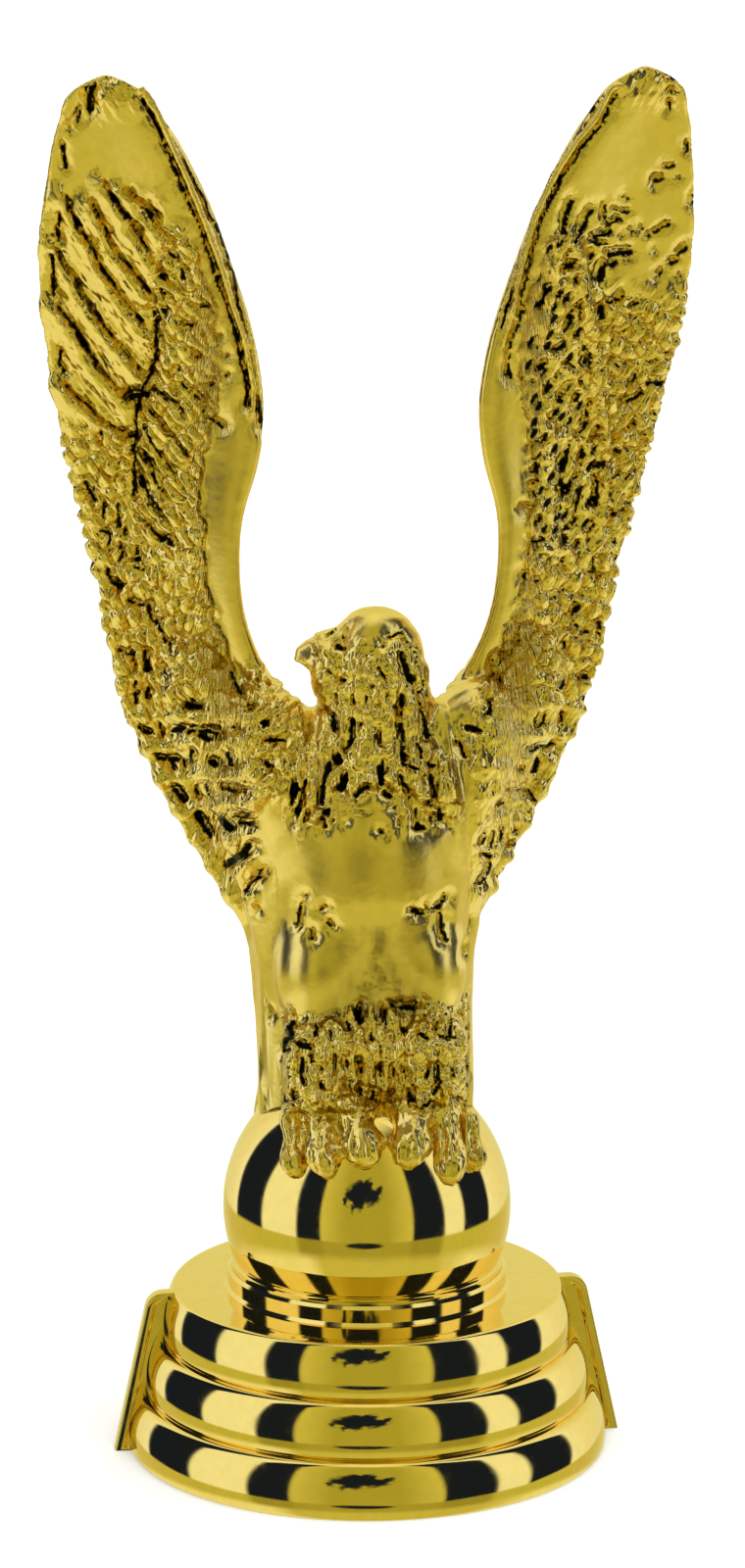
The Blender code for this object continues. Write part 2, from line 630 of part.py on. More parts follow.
def fin_mesh():
    """The upright web that runs across the plinth and shows as a sloping fin on both sides."""
    foot = BAND_RADIUS + FIN_REACH_FOOT
    top = DECK_RADIUS + BAND_BULGE + FIN_REACH_TOP
    half = 0.5 * FIN_THICKNESS
    height = DECK_Z - FIN_EDGE
    bm = bmesh.new()
    front = [bm.verts.new((x, -half, z)) for x, z in ((-foot, 0), (foot, 0), (top, height), (-top, height))]
    face = bm.faces.new(front)
    grown = bmesh.ops.extrude_face_region(bm, geom=[face])
    bmesh.ops.translate(
        bm, verts=[v for v in grown["geom"] if isinstance(v, bmesh.types.BMVert)], vec=(0, FIN_THICKNESS, 0)
    )
    edges = [e for e in bm.edges if max(v.co.z for v in e.verts) > 0.1]
    bmesh.ops.bevel(bm, geom=edges, offset=FIN_EDGE, segments=1, affect="EDGES")
    return mesh_from_bmesh("fins", bm)


def mirror_gold(name):
    """Gold plating: a bright metal skin on the plastic."""
    made = bpy.data.materials.new(name)
    made.use_nodes = True
    shader = made.node_tree.nodes["Principled BSDF"]
    shader.inputs["Base Color"].default_value = GOLD
    shader.inputs["Roughness"].default_value = GOLD_ROUGHNESS
    shader.inputs["Metallic"].default_value = 1.0
    return made


def finished(name, mesh, finish, smooth_angle):
    """Hands a mesh over as a named object in metres."""
    mesh.name = name
    mesh.transform(Matrix.Scale(MM, 4))
    mesh.shade_smooth()
    mesh.set_sharp_from_angle(angle=math.radians(smooth_angle))
    mesh.materials.clear()
    mesh.materials.append(finish)
    return new_object(name, mesh)


def build():
    clear_scene()
    eagle = union(ball_mesh(), eagle_clay())
    plinth = union(plinth_body(), fin_mesh())
    finished("eagle_on_ball", eagle, mirror_gold("figure_gold"), 50)
    finished("plinth", plinth, mirror_gold("plinth_gold"), 30)


build()
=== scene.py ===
"""Looks of a gold plated trophy figure: an eagle with raised wings that grips a ball, on a banded plinth.

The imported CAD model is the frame. The figure is sculpted again over it, finely enough to show every feather,
from nearly the same masses and outlines. Sizes below are in millimetres unless a name says otherwise, and
every finished mesh is scaled to metres. The eagle looks along -Y and its wings spread along X.
"""

import math

import bmesh
import bpy
import numpy as np
from bpy.props import FloatProperty, FloatVectorProperty, IntProperty, PointerProperty
from mathutils import Matrix, Vector


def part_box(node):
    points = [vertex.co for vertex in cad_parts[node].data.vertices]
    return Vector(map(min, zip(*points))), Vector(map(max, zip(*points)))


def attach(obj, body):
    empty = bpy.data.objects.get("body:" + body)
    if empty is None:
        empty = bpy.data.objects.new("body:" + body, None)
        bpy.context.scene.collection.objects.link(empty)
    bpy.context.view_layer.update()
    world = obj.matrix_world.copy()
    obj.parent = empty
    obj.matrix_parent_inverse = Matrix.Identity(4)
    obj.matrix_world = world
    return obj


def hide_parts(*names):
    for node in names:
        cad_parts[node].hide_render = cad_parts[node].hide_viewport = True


bl_info = {
    "name": "Eagle Trophy",
    "version": (1, 0, 0),
    "blender": (4, 5, 0),
    "location": "View3D > Sidebar > Trophy",
    "description": "Models and finishes an eagle trophy figure on a banded plinth",
    "category": "Object",
}

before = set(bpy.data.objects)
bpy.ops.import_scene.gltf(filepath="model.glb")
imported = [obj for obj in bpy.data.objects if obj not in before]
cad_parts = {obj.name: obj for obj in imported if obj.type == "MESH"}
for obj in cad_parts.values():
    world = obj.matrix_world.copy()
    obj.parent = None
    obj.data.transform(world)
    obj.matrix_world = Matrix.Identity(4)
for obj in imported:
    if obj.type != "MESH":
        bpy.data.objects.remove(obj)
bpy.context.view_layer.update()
MM = 0.001

# Sizes that come from the frame
PLINTH_LOW, PLINTH_HIGH = [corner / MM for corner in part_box("plinth")]
FIGURE_LOW, FIGURE_HIGH = [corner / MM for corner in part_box("eagle_on_ball")]

# Sizes of the real piece
BAND_RADIUS = PLINTH_HIGH.y
BAND_STEP = 2.0
BAND_HEIGHT = 6.2
BAND_COUNT = 3
BAND_BULGE = 1.9
BAND_FLANK = 0.95
BAND_TUCK = 0.3
BAND_TURN = 4.75
DECK_EDGE = 0.35
COLLAR_LEDGE = 1.0
FIN_REACH_TOP = 1.4
FIN_THICKNESS = 1.7
FIN_CORNER = 1.6
FIN_SINK = 0.12
FIN_RIM = 0.95
FIN_PANEL_DEPTH = 0.45
FIN_EDGE = 0.2
BALL_RADIUS = 16.2
BALL_FOOT_DEPTH = 6.8
BALL_EDGE = 0.25
SEAT_REACH = 0.55
SEAT_RISE = 0.45
SEAT_CLEAR = 0.02

# Places that follow from them
DECK_Z = BAND_COUNT * BAND_HEIGHT
DECK_RADIUS = BAND_RADIUS - (BAND_COUNT - 1) * BAND_STEP - BAND_BULGE + BAND_TUCK
COLLAR_Z = PLINTH_HIGH.z
FIN_FOOT = PLINTH_HIGH.x
BALL_FOOT_Z = FIGURE_LOW.z
BALL_Z = BALL_FOOT_Z + BALL_FOOT_DEPTH
COLLAR_RADIUS = math.sqrt(BALL_RADIUS**2 - BALL_FOOT_DEPTH**2) + COLLAR_LEDGE
PERCH_Z = BALL_Z + BALL_RADIUS

# The figure is drawn with heights counted from the top of the ball
BODY_CELL = 0.5
BODY_PASSES = 24
CLAY_CELL = 0.25
SOFT_PASSES = 34
CRISP_PASSES = 2
EAGLE_TRIANGLES = 188000
TORSO_STATIONS = 60
TORSO_SIDES = 48
MASS_SEGMENTS = 48
MASS_RINGS = 28
SLAB_POINTS = 36
BEAK_SIDES = 24
TOE_SIDES = 20
BALL_SEGMENTS = 160
BALL_RINGS = 80
SEAT_ARC_STEPS = 8
PLINTH_SIDES = 192
BAND_ARC_STEPS = 8

# Faces that meet at less than this angle in degrees are shaded as one
PLINTH_SMOOTH = 40
BALL_SMOOTH = 30
EAGLE_SMOOTH = 75

# The marks on the figure are placed as they show to an eye a little above it and to the eagle's right
SIGHT_SIDE = 0.132
SIGHT_RISE = 0.243
BODY_FRONT = -6.0
BELLY_FRONT = -11.0
BELLY_TOP = 32.0
WING_FRONT = 2.0

# Edge of the body in front of the wings: heights and distances from the middle plane
BODY_EDGE_Z = (10.0, 20.0, 30.0, 36.0, 42.0, 46.0)
BODY_EDGE_X = (11.0, 10.5, 9.6, 8.6, 7.6, 6.0)

# Wing outline: distance from the middle plane at a height above the ball
WING_INNER_EDGE = (
    (-8.0, 2.0), (10.0, 3.0), (30.0, 4.0), (38.0, 5.6), (41.7, 8.0), (45.2, 10.7), (50.0, 12.9), (57.0, 14.1),
    (63.0, 13.9), (69.5, 12.2), (75.5, 11.6), (82.0, 12.4), (91.7, 15.2), (101.2, 18.9),
    (107.7, 22.6), (111.3, 25.6), (113.0, 29.0),
)
WING_OUTER_EDGE = (
    (-8.0, 12.2), (4.0, 12.4), (10.0, 12.7), (14.2, 13.2), (20.2, 16.2), (29.6, 21.6), (36.0, 24.7),
    (43.2, 27.1), (53.2, 28.8), (66.9, 32.0), (80.5, 34.7), (92.0, 35.9), (101.0, 35.2), (107.2, 34.1),
    (111.3, 32.2), (113.0, 29.0),
)
WING_FOOT = -8.0
WING_TIP = 112.65
WING_LEAN = 10.0
WING_LEAN_FROM = 36.0
WING_SWEEP = 9.0
WING_SWEEP_SPAN = 114.0
WING_CAMBER = 1.6
WING_NOSE_LENGTH = 4.2
WING_SLIM_CHORD = 12.0
WING_SECTIONS = 90
WING_CHORD_POINTS = 40
WING_NOSE_HALF = 2.3
WING_ROOT_HALF = 3.6
WING_TAIL_HALF = 0.75

# Fan of the flight feathers on the wing's back: root, angle from upright, length and width along the wing
FAN_AT = (0.0, 0.2, 0.4, 0.55, 0.65, 0.75, 0.85, 0.93, 1.0)
FAN_ROOT_X = (9.5, 13.0, 19.0, 24.0, 26.3, 25.0, 23.9, 22.4, 19.8)
FAN_ROOT_Z = (21.0, 33.0, 50.0, 64.0, 71.5, 78.5, 84.4, 90.5, 95.5)
FAN_ANGLE = (122.0, 110.0, 90.0, 64.0, 47.0, 41.0, 39.0, 44.0, 46.0)
FAN_LENGTH = (8.0, 9.5, 10.0, 9.5, 11.0, 15.0, 16.5, 14.0, 9.0)
FAN_WIDTH = (4.4, 4.6, 4.8, 4.6, 4.4, 4.2, 4.2, 4.0, 3.4)
FLIGHT_FEATHERS = 16
COVERT_ROWS = ((-4.8, 8.0, 22, 0.35), (-8.4, 5.8, 30, 0.6))

# Torso, neck and head sections: height, sideways middle, front-back middle, half width, half depth
TORSO = (
    (-3.0, 0.0, -1.0, 9.0, 6.0), (3.0, 0.0, -1.6, 9.2, 6.2), (9.0, 0.0, -2.0, 9.8, 6.8),
    (16.0, 0.0, -2.2, 10.2, 7.4), (24.0, 0.0, -2.4, 10.4, 8.0), (30.0, 0.0, -2.6, 9.6, 7.8),
    (34.5, 0.2, -2.8, 7.9, 6.9), (38.5, 0.4, -3.2, 6.3, 5.9), (42.0, 0.6, -3.5, 6.1, 5.3),
    (46.5, 0.5, -3.7, 5.5, 5.0), (50.0, 0.4, -3.8, 4.7, 4.3), (52.3, 0.2, -3.8, 3.0, 2.8),
)
TAIL_TOP = ((24.0, 2.6, 11.5, 3.0), (15.0, 3.0, 12.7, 3.0), (8.0, 3.6, 12.4, 2.7), (3.0, 4.8, 11.8, 2.3))
TAIL_DRAPE = ((58.0, 11.3), (44.0, 11.2), (28.0, 11.4), (12.0, 11.2), (0.0, 10.6), (-8.0, 9.2))
TAIL_HALF_THICKNESS = 1.5
TAIL_SINK = 1.2
TAIL_BOW = 1.6
TAIL_REACH = 11.4
TAIL_FEATHER = 4.2

# Flanks: height, half width, depth of the front corner and how far it lies inside the half width
FLANKS = (
    (-9.0, 12.0, -5.6, 4.45), (0.0, 12.0, -5.2, 4.14), (6.0, 12.0, -4.9, 3.9), (12.0, 12.2, -4.6, 3.66),
    (18.0, 13.3, -4.6, 3.9), (24.0, 15.2, -4.6, 4.6), (30.0, 17.0, -4.2, 6.4), (36.0, 17.6, -3.0, 8.2),
)
FLANK_BACK = 4.0
# Rounded masses: middle (x, y, z), radii, lean about X, splay about Y. Those with x > 0 are mirrored
MASSES = (
    ((0.0, -1.6, 29.5), (13.0, 8.4, 13.5), 0.0, 0.0),
    ((9.0, -2.6, 33.5), (6.2, 5.0, 12.0), 0.0, 24.0),
    ((14.2, 1.4, 37.0), (6.0, 3.6, 13.0), 0.0, 30.0),
    ((5.2, -3.6, 14.0), (5.4, 5.6, 9.0), -3.0, -10.0),
    ((0.0, -3.0, 12.0), (8.2, 5.6, 9.0), 0.0, 0.0),
)
TUFT_MASSES = (
    ((5.4, -6.2, 4.4), (4.8, 3.8, 5.0), -8.0, 0.0),
    ((5.8, -6.6, 0.6), (4.6, 3.8, 3.8), -14.0, 0.0),
    ((0.0, -6.2, 3.4), (4.6, 3.2, 5.2), -8.0, 0.0),
)
SKULL_MASSES = (
    ((0.3, -3.9, 47.8), (5.1, 4.4, 5.3), 0.0, 0.0),
    ((-3.4, -4.0, 47.6), (3.6, 3.0, 3.5), 0.0, 0.0),
    ((-3.0, -4.0, 45.2), (3.3, 2.8, 3.2), 0.0, 0.0),
)
# Beak: middle (x, y, z), half width, half height at each station from the face to the blunt tip
BEAK = (
    (-3.8, -4.0, 48.0, 2.3, 3.2), (-5.3, -4.0, 48.1, 1.9, 2.7), (-6.5, -4.0, 48.2, 1.5, 2.0),
    (-7.3, -4.0, 48.2, 1.15, 1.5), (-7.8, -4.0, 47.9, 0.8, 1.1), (-8.0, -4.0, 47.3, 0.4, 0.6),
)
# Toes: sideways place of the knuckle and of the tip, the tip's angle above the ball's equator, and girth
TOES = (
    (-8.4, -9.5, 31.0, 1.75), (-6.0, -6.2, 29.0, 1.9), (-2.8, -1.9, 31.0, 2.4),
    (4.0, 2.9, 30.5, 2.4), (7.0, 7.5, 24.0, 1.8), (9.6, 10.8, 31.0, 1.4),
)
TOE_ROOT_ANGLE = 64.0
TOE_STATIONS = 14
TOE_LIFT = 0.45
TOE_SWELL = 0.14
TOE_ROUNDING_FROM = 0.62

# Steps between the long feathers of the wing, also darkened with painted shade: width, then points down from
# the outer end
LONG_FEATHERS = (
    (0.9, 33.3, 99.3, 32.5, 97.3, 31.2, 94.8, 29.3, 91.2, 27.0, 87.8, 26.0, 86.4, 24.2, 84.0),
    (0.9, 30.3, 98.3, 28.8, 95.2, 27.6, 92.7, 25.3, 90.0, 24.2, 88.4),
    (0.8, 28.9, 100.5, 27.6, 98.5, 25.7, 95.6, 24.7, 93.4, 22.6, 90.2),
    (0.7, 26.6, 99.7, 24.3, 97.5, 23.2, 95.5, 22.2, 94.5),
    (0.9, 34.2, 93.5, 32.4, 90.4, 31.2, 88.2, 29.4, 85.1, 27.7, 83.1, 26.2, 81.0, 24.6, 79.0),
    (1.0, 34.3, 87.4, 32.3, 84.6, 30.8, 81.9, 29.2, 79.8, 27.7, 78.0, 26.2, 76.4),
    (0.8, 33.6, 78.8, 32.4, 77.5, 31.1, 76.3, 29.7, 74.8, 28.1, 73.8, 26.2, 72.7),
)
SLIM_FEATHERS = (
    (0.55, 23.4, 77.8, 21.4, 76.4, 20.3, 75.0),
    (0.55, 24.3, 76.0, 23.0, 74.5, 21.5, 72.5, 20.0, 70.4),
    (0.55, 24.8, 74.0, 23.8, 72.0, 22.8, 70.4, 21.4, 68.4),
    (0.55, 25.3, 71.4, 23.8, 69.0, 23.3, 67.7, 22.4, 65.6),
    (0.55, 25.4, 68.6, 24.2, 66.4, 23.2, 64.6, 22.2, 63.0),
)
LONG_BLADE = (2.3, 1.05)
SLIM_BLADE = (1.7, 0.65)

# Grooves and pits cut in the feathers and darkened with painted shade: width, then points as distance from the
# middle plane and height
RIGHT_WING_MARKS = (
    # Dark lines inside the leading rim
    (0.6, 24.9, 109.5, 23.2, 106.0, 21.0, 101.0, 18.6, 95.0, 16.8, 90.0, 15.6, 86.0, 14.5, 83.0, 13.4, 77.5,
     13.4, 75.5), (0.5, 23.6, 109.5, 21.2, 104.0, 18.5, 99.0, 16.3, 94.0, 15.0, 90.0, 13.9, 84.5, 13.2, 81.0),
    (0.9, 13.1, 81.5, 12.7, 79.0, 12.1, 76.0, 11.8, 73.2),
    # Rib along the wing's middle and the slim feathers inside it
    (0.6, 23.6, 86.5, 23.3, 82.5, 23.9, 80.0, 25.4, 77.0, 25.6, 73.0, 25.8, 69.0, 25.8, 65.6),
    (0.6, 20.4, 78.2, 18.7, 76.3, 17.8, 74.5, 15.9, 73.2),
    (0.6, 25.6, 63.7, 24.3, 62.5, 22.9, 61.2, 21.4, 60.1),
    (0.8, 26.5, 53.8, 24.4, 53.4, 23.8, 51.8, 22.6, 50.0, 21.7, 48.3),
    # Slits round the tip and down the outer edge
    (1.0, 30.2, 111.2, 30.5, 108.5), (0.6, 31.5, 108.6, 31.7, 107.4), (0.5, 32.8, 106.5),
    (0.5, 33.5, 105.0, 33.2, 102.5), (0.5, 34.0, 97.5, 34.0, 94.8), (0.6, 34.6, 93.0, 34.5, 88.7),
    (0.4, 28.7, 112.0), (0.6, 34.0, 82.5, 33.7, 80.0),
    # Pits between the upper feathers
    (1.2, 24.4, 97.8, 23.8, 96.9), (1.1, 21.9, 92.9, 21.2, 92.4), (0.6, 20.5, 91.0, 20.4, 89.8),
    (1.1, 22.8, 90.4, 22.2, 89.9), (0.7, 22.6, 88.4), (0.6, 22.6, 86.6, 22.4, 85.8), (0.8, 25.6, 95.7),
    (1.2, 26.3, 77.2, 24.1, 77.4), (0.9, 26.3, 72.7, 25.5, 73.0), (0.6, 29.4, 73.2), (0.9, 19.0, 81.2),
    (0.6, 20.8, 79.8), (0.7, 15.8, 81.1), (0.7, 16.7, 83.2), (0.6, 15.6, 79.0), (0.7, 17.2, 77.8),
    (0.5, 20.9, 84.8, 19.4, 84.9), (0.5, 18.6, 86.8, 17.6, 86.6),
    # Slits among the short outer feathers
    (0.9, 31.2, 67.6, 30.2, 65.7), (0.6, 29.3, 65.6, 29.4, 63.6), (0.6, 27.5, 65.0, 27.7, 62.3),
    (0.6, 26.8, 63.0, 26.8, 61.6), (0.6, 29.6, 62.3, 28.4, 61.8), (0.6, 28.5, 61.5, 28.6, 59.8),
    (0.7, 27.3, 60.5, 27.3, 58.6), (0.9, 25.4, 60.0, 25.5, 58.5), (0.6, 25.8, 57.8, 24.2, 57.3),
    (0.5, 28.9, 57.8, 28.6, 56.6), (1.0, 28.3, 56.2, 27.6, 55.6), (1.2, 23.2, 61.3, 21.6, 60.2),
    (0.7, 27.4, 48.2, 26.3, 47.8), (0.6, 25.9, 47.9, 25.9, 45.7), (0.7, 24.7, 48.0, 24.5, 45.6),
    (0.6, 25.6, 44.4, 25.6, 42.2), (0.5, 24.4, 44.2, 24.3, 42.6), (1.7, 19.6, 41.5, 18.3, 41.2),
    (0.6, 22.4, 46.0), (0.6, 21.0, 45.6),
    # Recesses under the level rows
    (1.0, 25.2, 39.3, 24.3, 38.4), (0.6, 22.9, 39.4, 22.9, 37.9), (1.1, 21.3, 38.7, 20.0, 38.9),
    (0.8, 19.4, 38.5, 16.2, 38.4), (1.3, 18.2, 38.0, 17.2, 37.6), (0.5, 16.4, 38.2, 16.4, 37.0),
    (0.9, 14.5, 38.9), (1.0, 23.3, 35.5, 20.9, 35.2), (0.6, 21.5, 35.0, 21.4, 34.2),
    (0.4, 20.2, 35.3, 20.1, 34.2), (0.8, 19.3, 36.3, 19.3, 34.9), (1.1, 17.1, 35.0, 16.5, 34.7),
    (1.0, 15.2, 35.7, 14.6, 34.6), (1.1, 21.2, 31.8, 20.2, 30.7), (0.7, 19.0, 31.9, 18.6, 30.8),
    (0.6, 17.6, 32.4, 17.2, 31.2), (0.8, 15.8, 31.9, 13.2, 31.5), (1.6, 18.6, 28.5, 17.4, 26.6),
    (1.4, 15.9, 28.3, 15.0, 27.4), (0.5, 14.5, 28.6, 12.8, 28.7), (0.7, 14.0, 28.0, 12.4, 27.8),
    (1.3, 15.6, 23.0, 12.8, 25.2), (0.8, 11.3, 22.5, 13.3, 20.0), (0.7, 13.4, 19.2), (0.4, 12.1, 17.8),
    # Shoulder
    (0.8, 14.9, 45.0, 13.7, 42.6), (0.6, 16.0, 46.2), (0.5, 12.9, 41.4, 12.3, 41.2),
    (0.5, 11.5, 39.2, 10.7, 39.4), (0.5, 10.8, 37.3, 8.9, 37.2), (0.8, 10.9, 34.8, 10.3, 34.2),
)
LEFT_WING_MARKS = (
    # Dark lines inside the leading rim
    (0.5, 26.0, 109.2, 24.4, 106.0, 22.6, 103.8, 21.0, 101.3, 20.3, 100.2, 19.5, 98.3, 18.2, 95.2, 17.2,
     91.5, 16.5, 88.0, 16.2, 85.2),
    (0.6, 16.3, 85.5, 15.7, 83.0, 15.2, 81.2, 15.0, 79.7, 15.1, 78.4, 15.4, 77.8),
    (0.35, 24.0, 108.5, 20.4, 101.6, 18.4, 97.0, 16.6, 92.0, 15.3, 88.0, 14.3, 83.5),
    # Dents of the smooth tip
    (0.5, 31.2, 111.3, 32.2, 111.0), (0.8, 31.8, 109.6), (0.5, 31.7, 108.4, 31.8, 107.6),
    (0.5, 31.5, 101.5, 32.6, 101.5), (0.9, 30.8, 99.8, 31.6, 100.1), (0.5, 33.2, 100.2),
    (0.5, 33.8, 104.0, 33.9, 103.0), (0.6, 35.0, 98.5, 35.0, 97.3),
    # Deep pits of the upper wing
    (1.1, 21.4, 97.6, 20.8, 96.0), (1.0, 20.9, 95.8, 20.6, 94.0), (1.3, 23.6, 96.6, 22.8, 94.6),
    (0.9, 22.6, 94.4, 22.0, 93.0), (0.6, 25.2, 97.2, 25.3, 95.8), (0.6, 27.0, 95.8, 25.6, 95.0),
    (0.6, 27.5, 98.0), (0.4, 26.2, 96.5, 28.0, 96.6), (0.6, 28.3, 94.6), (0.6, 29.4, 94.8),
    (0.5, 32.6, 95.2, 31.0, 94.3, 30.2, 94.1), (0.8, 26.0, 94.2, 24.2, 93.6), (0.6, 24.0, 93.0, 25.8, 92.8),
    (0.6, 27.2, 93.6), (1.1, 28.2, 92.0, 26.0, 91.8), (0.9, 24.0, 92.0, 23.8, 91.2),
    (0.9, 34.4, 92.6, 33.6, 92.0), (0.9, 33.4, 91.1, 32.8, 90.8), (0.5, 31.2, 92.2),
    (0.6, 31.9, 89.9, 31.5, 89.6), (1.2, 25.4, 90.8, 24.9, 88.9), (0.8, 26.9, 91.0, 26.0, 90.6),
    (0.7, 19.7, 91.2), (0.6, 21.5, 92.2, 21.2, 91.6), (0.7, 22.0, 90.8, 20.8, 90.0),
    (0.6, 22.4, 89.4, 22.4, 88.6), (0.5, 21.6, 89.0, 20.6, 89.0), (0.6, 19.0, 89.2, 18.6, 85.6),
    (0.6, 21.6, 87.0), (0.6, 20.6, 87.0), (0.5, 23.4, 87.0), (0.8, 27.6, 87.4, 26.0, 86.5),
    (0.6, 29.4, 86.4, 28.8, 86.1), (1.2, 25.3, 86.0, 25.3, 84.9), (0.7, 22.4, 86.0, 21.6, 84.8),
    (0.6, 23.1, 85.9, 23.0, 84.7), (0.7, 29.2, 84.8), (0.6, 33.9, 89.4),
    # Slanting pits inside the middle rib
    (0.6, 22.0, 84.6, 21.0, 82.9), (0.8, 22.7, 82.7), (0.7, 18.3, 81.3), (0.7, 20.6, 81.4, 20.0, 81.2),
    (0.8, 19.3, 79.6, 18.6, 79.0), (0.5, 23.4, 80.6, 23.1, 80.0), (0.5, 24.1, 80.6, 24.2, 78.8),
    (0.6, 22.4, 79.2, 21.4, 79.6), (0.5, 20.8, 78.4, 20.2, 77.9), (0.6, 19.6, 77.6, 19.4, 76.3),
    (1.0, 22.0, 77.2, 21.0, 76.2), (0.9, 21.0, 76.0, 21.2, 75.2), (0.9, 23.3, 77.6),
    (0.8, 22.8, 76.1, 22.6, 75.4), (0.6, 17.7, 77.4), (0.9, 24.4, 75.2, 23.8, 73.0), (0.6, 22.4, 74.6),
    (0.5, 20.0, 73.4), (1.0, 21.1, 72.5), (1.0, 23.2, 71.9), (0.6, 25.3, 72.8, 24.6, 70.8),
    (0.7, 22.2, 70.5, 22.0, 69.6), (1.0, 21.8, 69.6, 21.4, 67.6), (0.8, 23.7, 70.0, 23.5, 68.2),
    (0.9, 23.4, 67.4, 22.2, 65.6), (1.0, 21.6, 65.8, 21.5, 64.4), (0.8, 21.4, 63.2),
    (0.7, 23.5, 64.8, 23.3, 62.6), (1.0, 25.5, 65.6, 25.3, 63.6), (0.6, 25.3, 67.0, 25.4, 66.0),
    (0.5, 25.1, 61.4, 24.9, 60.6), (1.1, 22.6, 61.3, 22.0, 60.7), (0.7, 21.7, 59.8), (0.6, 23.5, 59.4),
    (0.8, 21.8, 57.2), (0.9, 27.8, 59.3), (0.6, 28.1, 57.6, 27.9, 57.2), (0.5, 25.2, 57.4, 25.6, 55.8),
    # Pits of the curled outer feathers
    (1.1, 26.3, 68.4, 25.6, 68.0), (0.6, 27.2, 70.0, 28.2, 69.4), (0.6, 28.9, 69.8), (0.6, 30.4, 69.4),
    (0.6, 27.3, 83.1, 28.0, 83.3), (0.9, 33.4, 80.4), (0.7, 31.6, 80.1, 30.8, 79.6),
    (0.9, 32.4, 77.4, 31.0, 77.4), (0.8, 30.2, 76.2, 28.6, 75.6, 28.2, 75.0), (0.7, 33.2, 76.6, 33.2, 76.0),
    (0.7, 31.8, 74.0, 31.7, 72.4), (0.8, 30.9, 71.5), (0.5, 28.2, 79.6), (0.5, 27.2, 78.2),
    (0.5, 26.9, 80.0, 27.4, 79.2), (0.5, 29.4, 78.4, 29.0, 77.8), (0.5, 28.0, 73.6),
    (0.5, 29.4, 73.0, 28.8, 72.4), (0.5, 27.2, 71.6), (0.5, 29.8, 67.6, 28.6, 66.6),
    (0.5, 30.6, 67.2, 30.2, 66.4), (0.5, 28.0, 67.2, 27.2, 66.6), (0.5, 27.0, 65.4, 27.0, 64.4),
    (0.6, 28.6, 62.8, 26.8, 62.0), (0.6, 26.2, 61.2), (0.5, 29.4, 63.8, 28.6, 63.6),
    # Dashes along the inner edge of the feathers
    (0.45, 18.7, 70.9, 18.0, 70.2), (0.45, 18.9, 69.3, 18.2, 68.7), (0.45, 18.8, 67.9, 17.9, 67.3),
    (0.45, 18.9, 66.4, 18.2, 66.0), (0.5, 18.2, 65.2, 18.6, 64.4), (0.6, 18.0, 63.4, 17.2, 63.3),
    (0.8, 19.0, 61.8), (0.7, 19.4, 59.6, 18.4, 59.3), (0.6, 18.0, 58.0), (0.7, 19.6, 56.8),
    (0.6, 17.6, 56.0, 17.4, 55.2), (0.8, 19.0, 54.8),
    # Lower wing
    (0.7, 22.0, 54.0), (0.7, 21.2, 53.0), (1.2, 23.9, 51.6, 23.5, 51.2), (0.6, 24.4, 53.2), (0.6, 26.2, 55.3),
    (1.0, 25.1, 48.7, 24.7, 48.9), (0.7, 23.6, 49.6), (0.6, 22.4, 47.6, 22.4, 46.9),
    (0.5, 26.4, 49.8, 26.4, 48.6), (1.2, 22.1, 44.0, 22.0, 42.4), (0.9, 24.9, 44.0, 24.8, 43.3),
    (0.7, 25.3, 41.6, 25.0, 41.0), (0.6, 20.1, 39.2, 19.4, 37.8), (0.7, 22.3, 39.2, 22.2, 38.6),
    (0.7, 21.4, 35.6, 18.4, 35.2), (1.3, 19.4, 33.9, 19.2, 32.7), (0.8, 17.6, 33.3),
    (0.7, 22.6, 33.6, 22.4, 32.8), (0.5, 23.2, 35.6), (0.5, 16.0, 30.5, 17.4, 30.7),
    (0.5, 18.6, 30.6, 19.6, 28.8), (0.6, 15.6, 29.2, 14.9, 29.0), (0.5, 20.3, 28.8),
    (0.5, 13.4, 26.2, 13.2, 24.8), (0.5, 14.4, 26.0, 14.2, 24.4), (0.5, 15.3, 26.6, 15.2, 24.8),
    (0.6, 17.3, 26.0), (0.6, 17.0, 24.5, 16.2, 24.3), (0.7, 14.3, 23.2, 13.2, 23.2),
    (0.8, 14.0, 22.6, 13.8, 21.0), (0.5, 15.9, 21.6, 15.6, 20.8), (0.6, 13.3, 20.6, 12.6, 20.0),
    (0.5, 14.8, 17.6), (0.5, 14.0, 16.2), (0.5, 10.9, 17.0, 11.4, 16.4),
    # Shoulder
    (0.6, 13.8, 41.2, 13.7, 39.2), (1.2, 11.4, 38.2, 12.6, 37.6), (0.7, 9.4, 37.2, 10.2, 36.4),
    (0.5, 10.6, 36.2, 11.2, 34.6), (0.8, 8.6, 34.9), (0.4, 15.2, 46.4, 15.0, 45.0),
    (0.4, 14.4, 45.8, 14.2, 44.0), (0.4, 14.9, 43.8, 14.8, 42.8), (0.4, 17.2, 49.4, 17.0, 48.0),
)
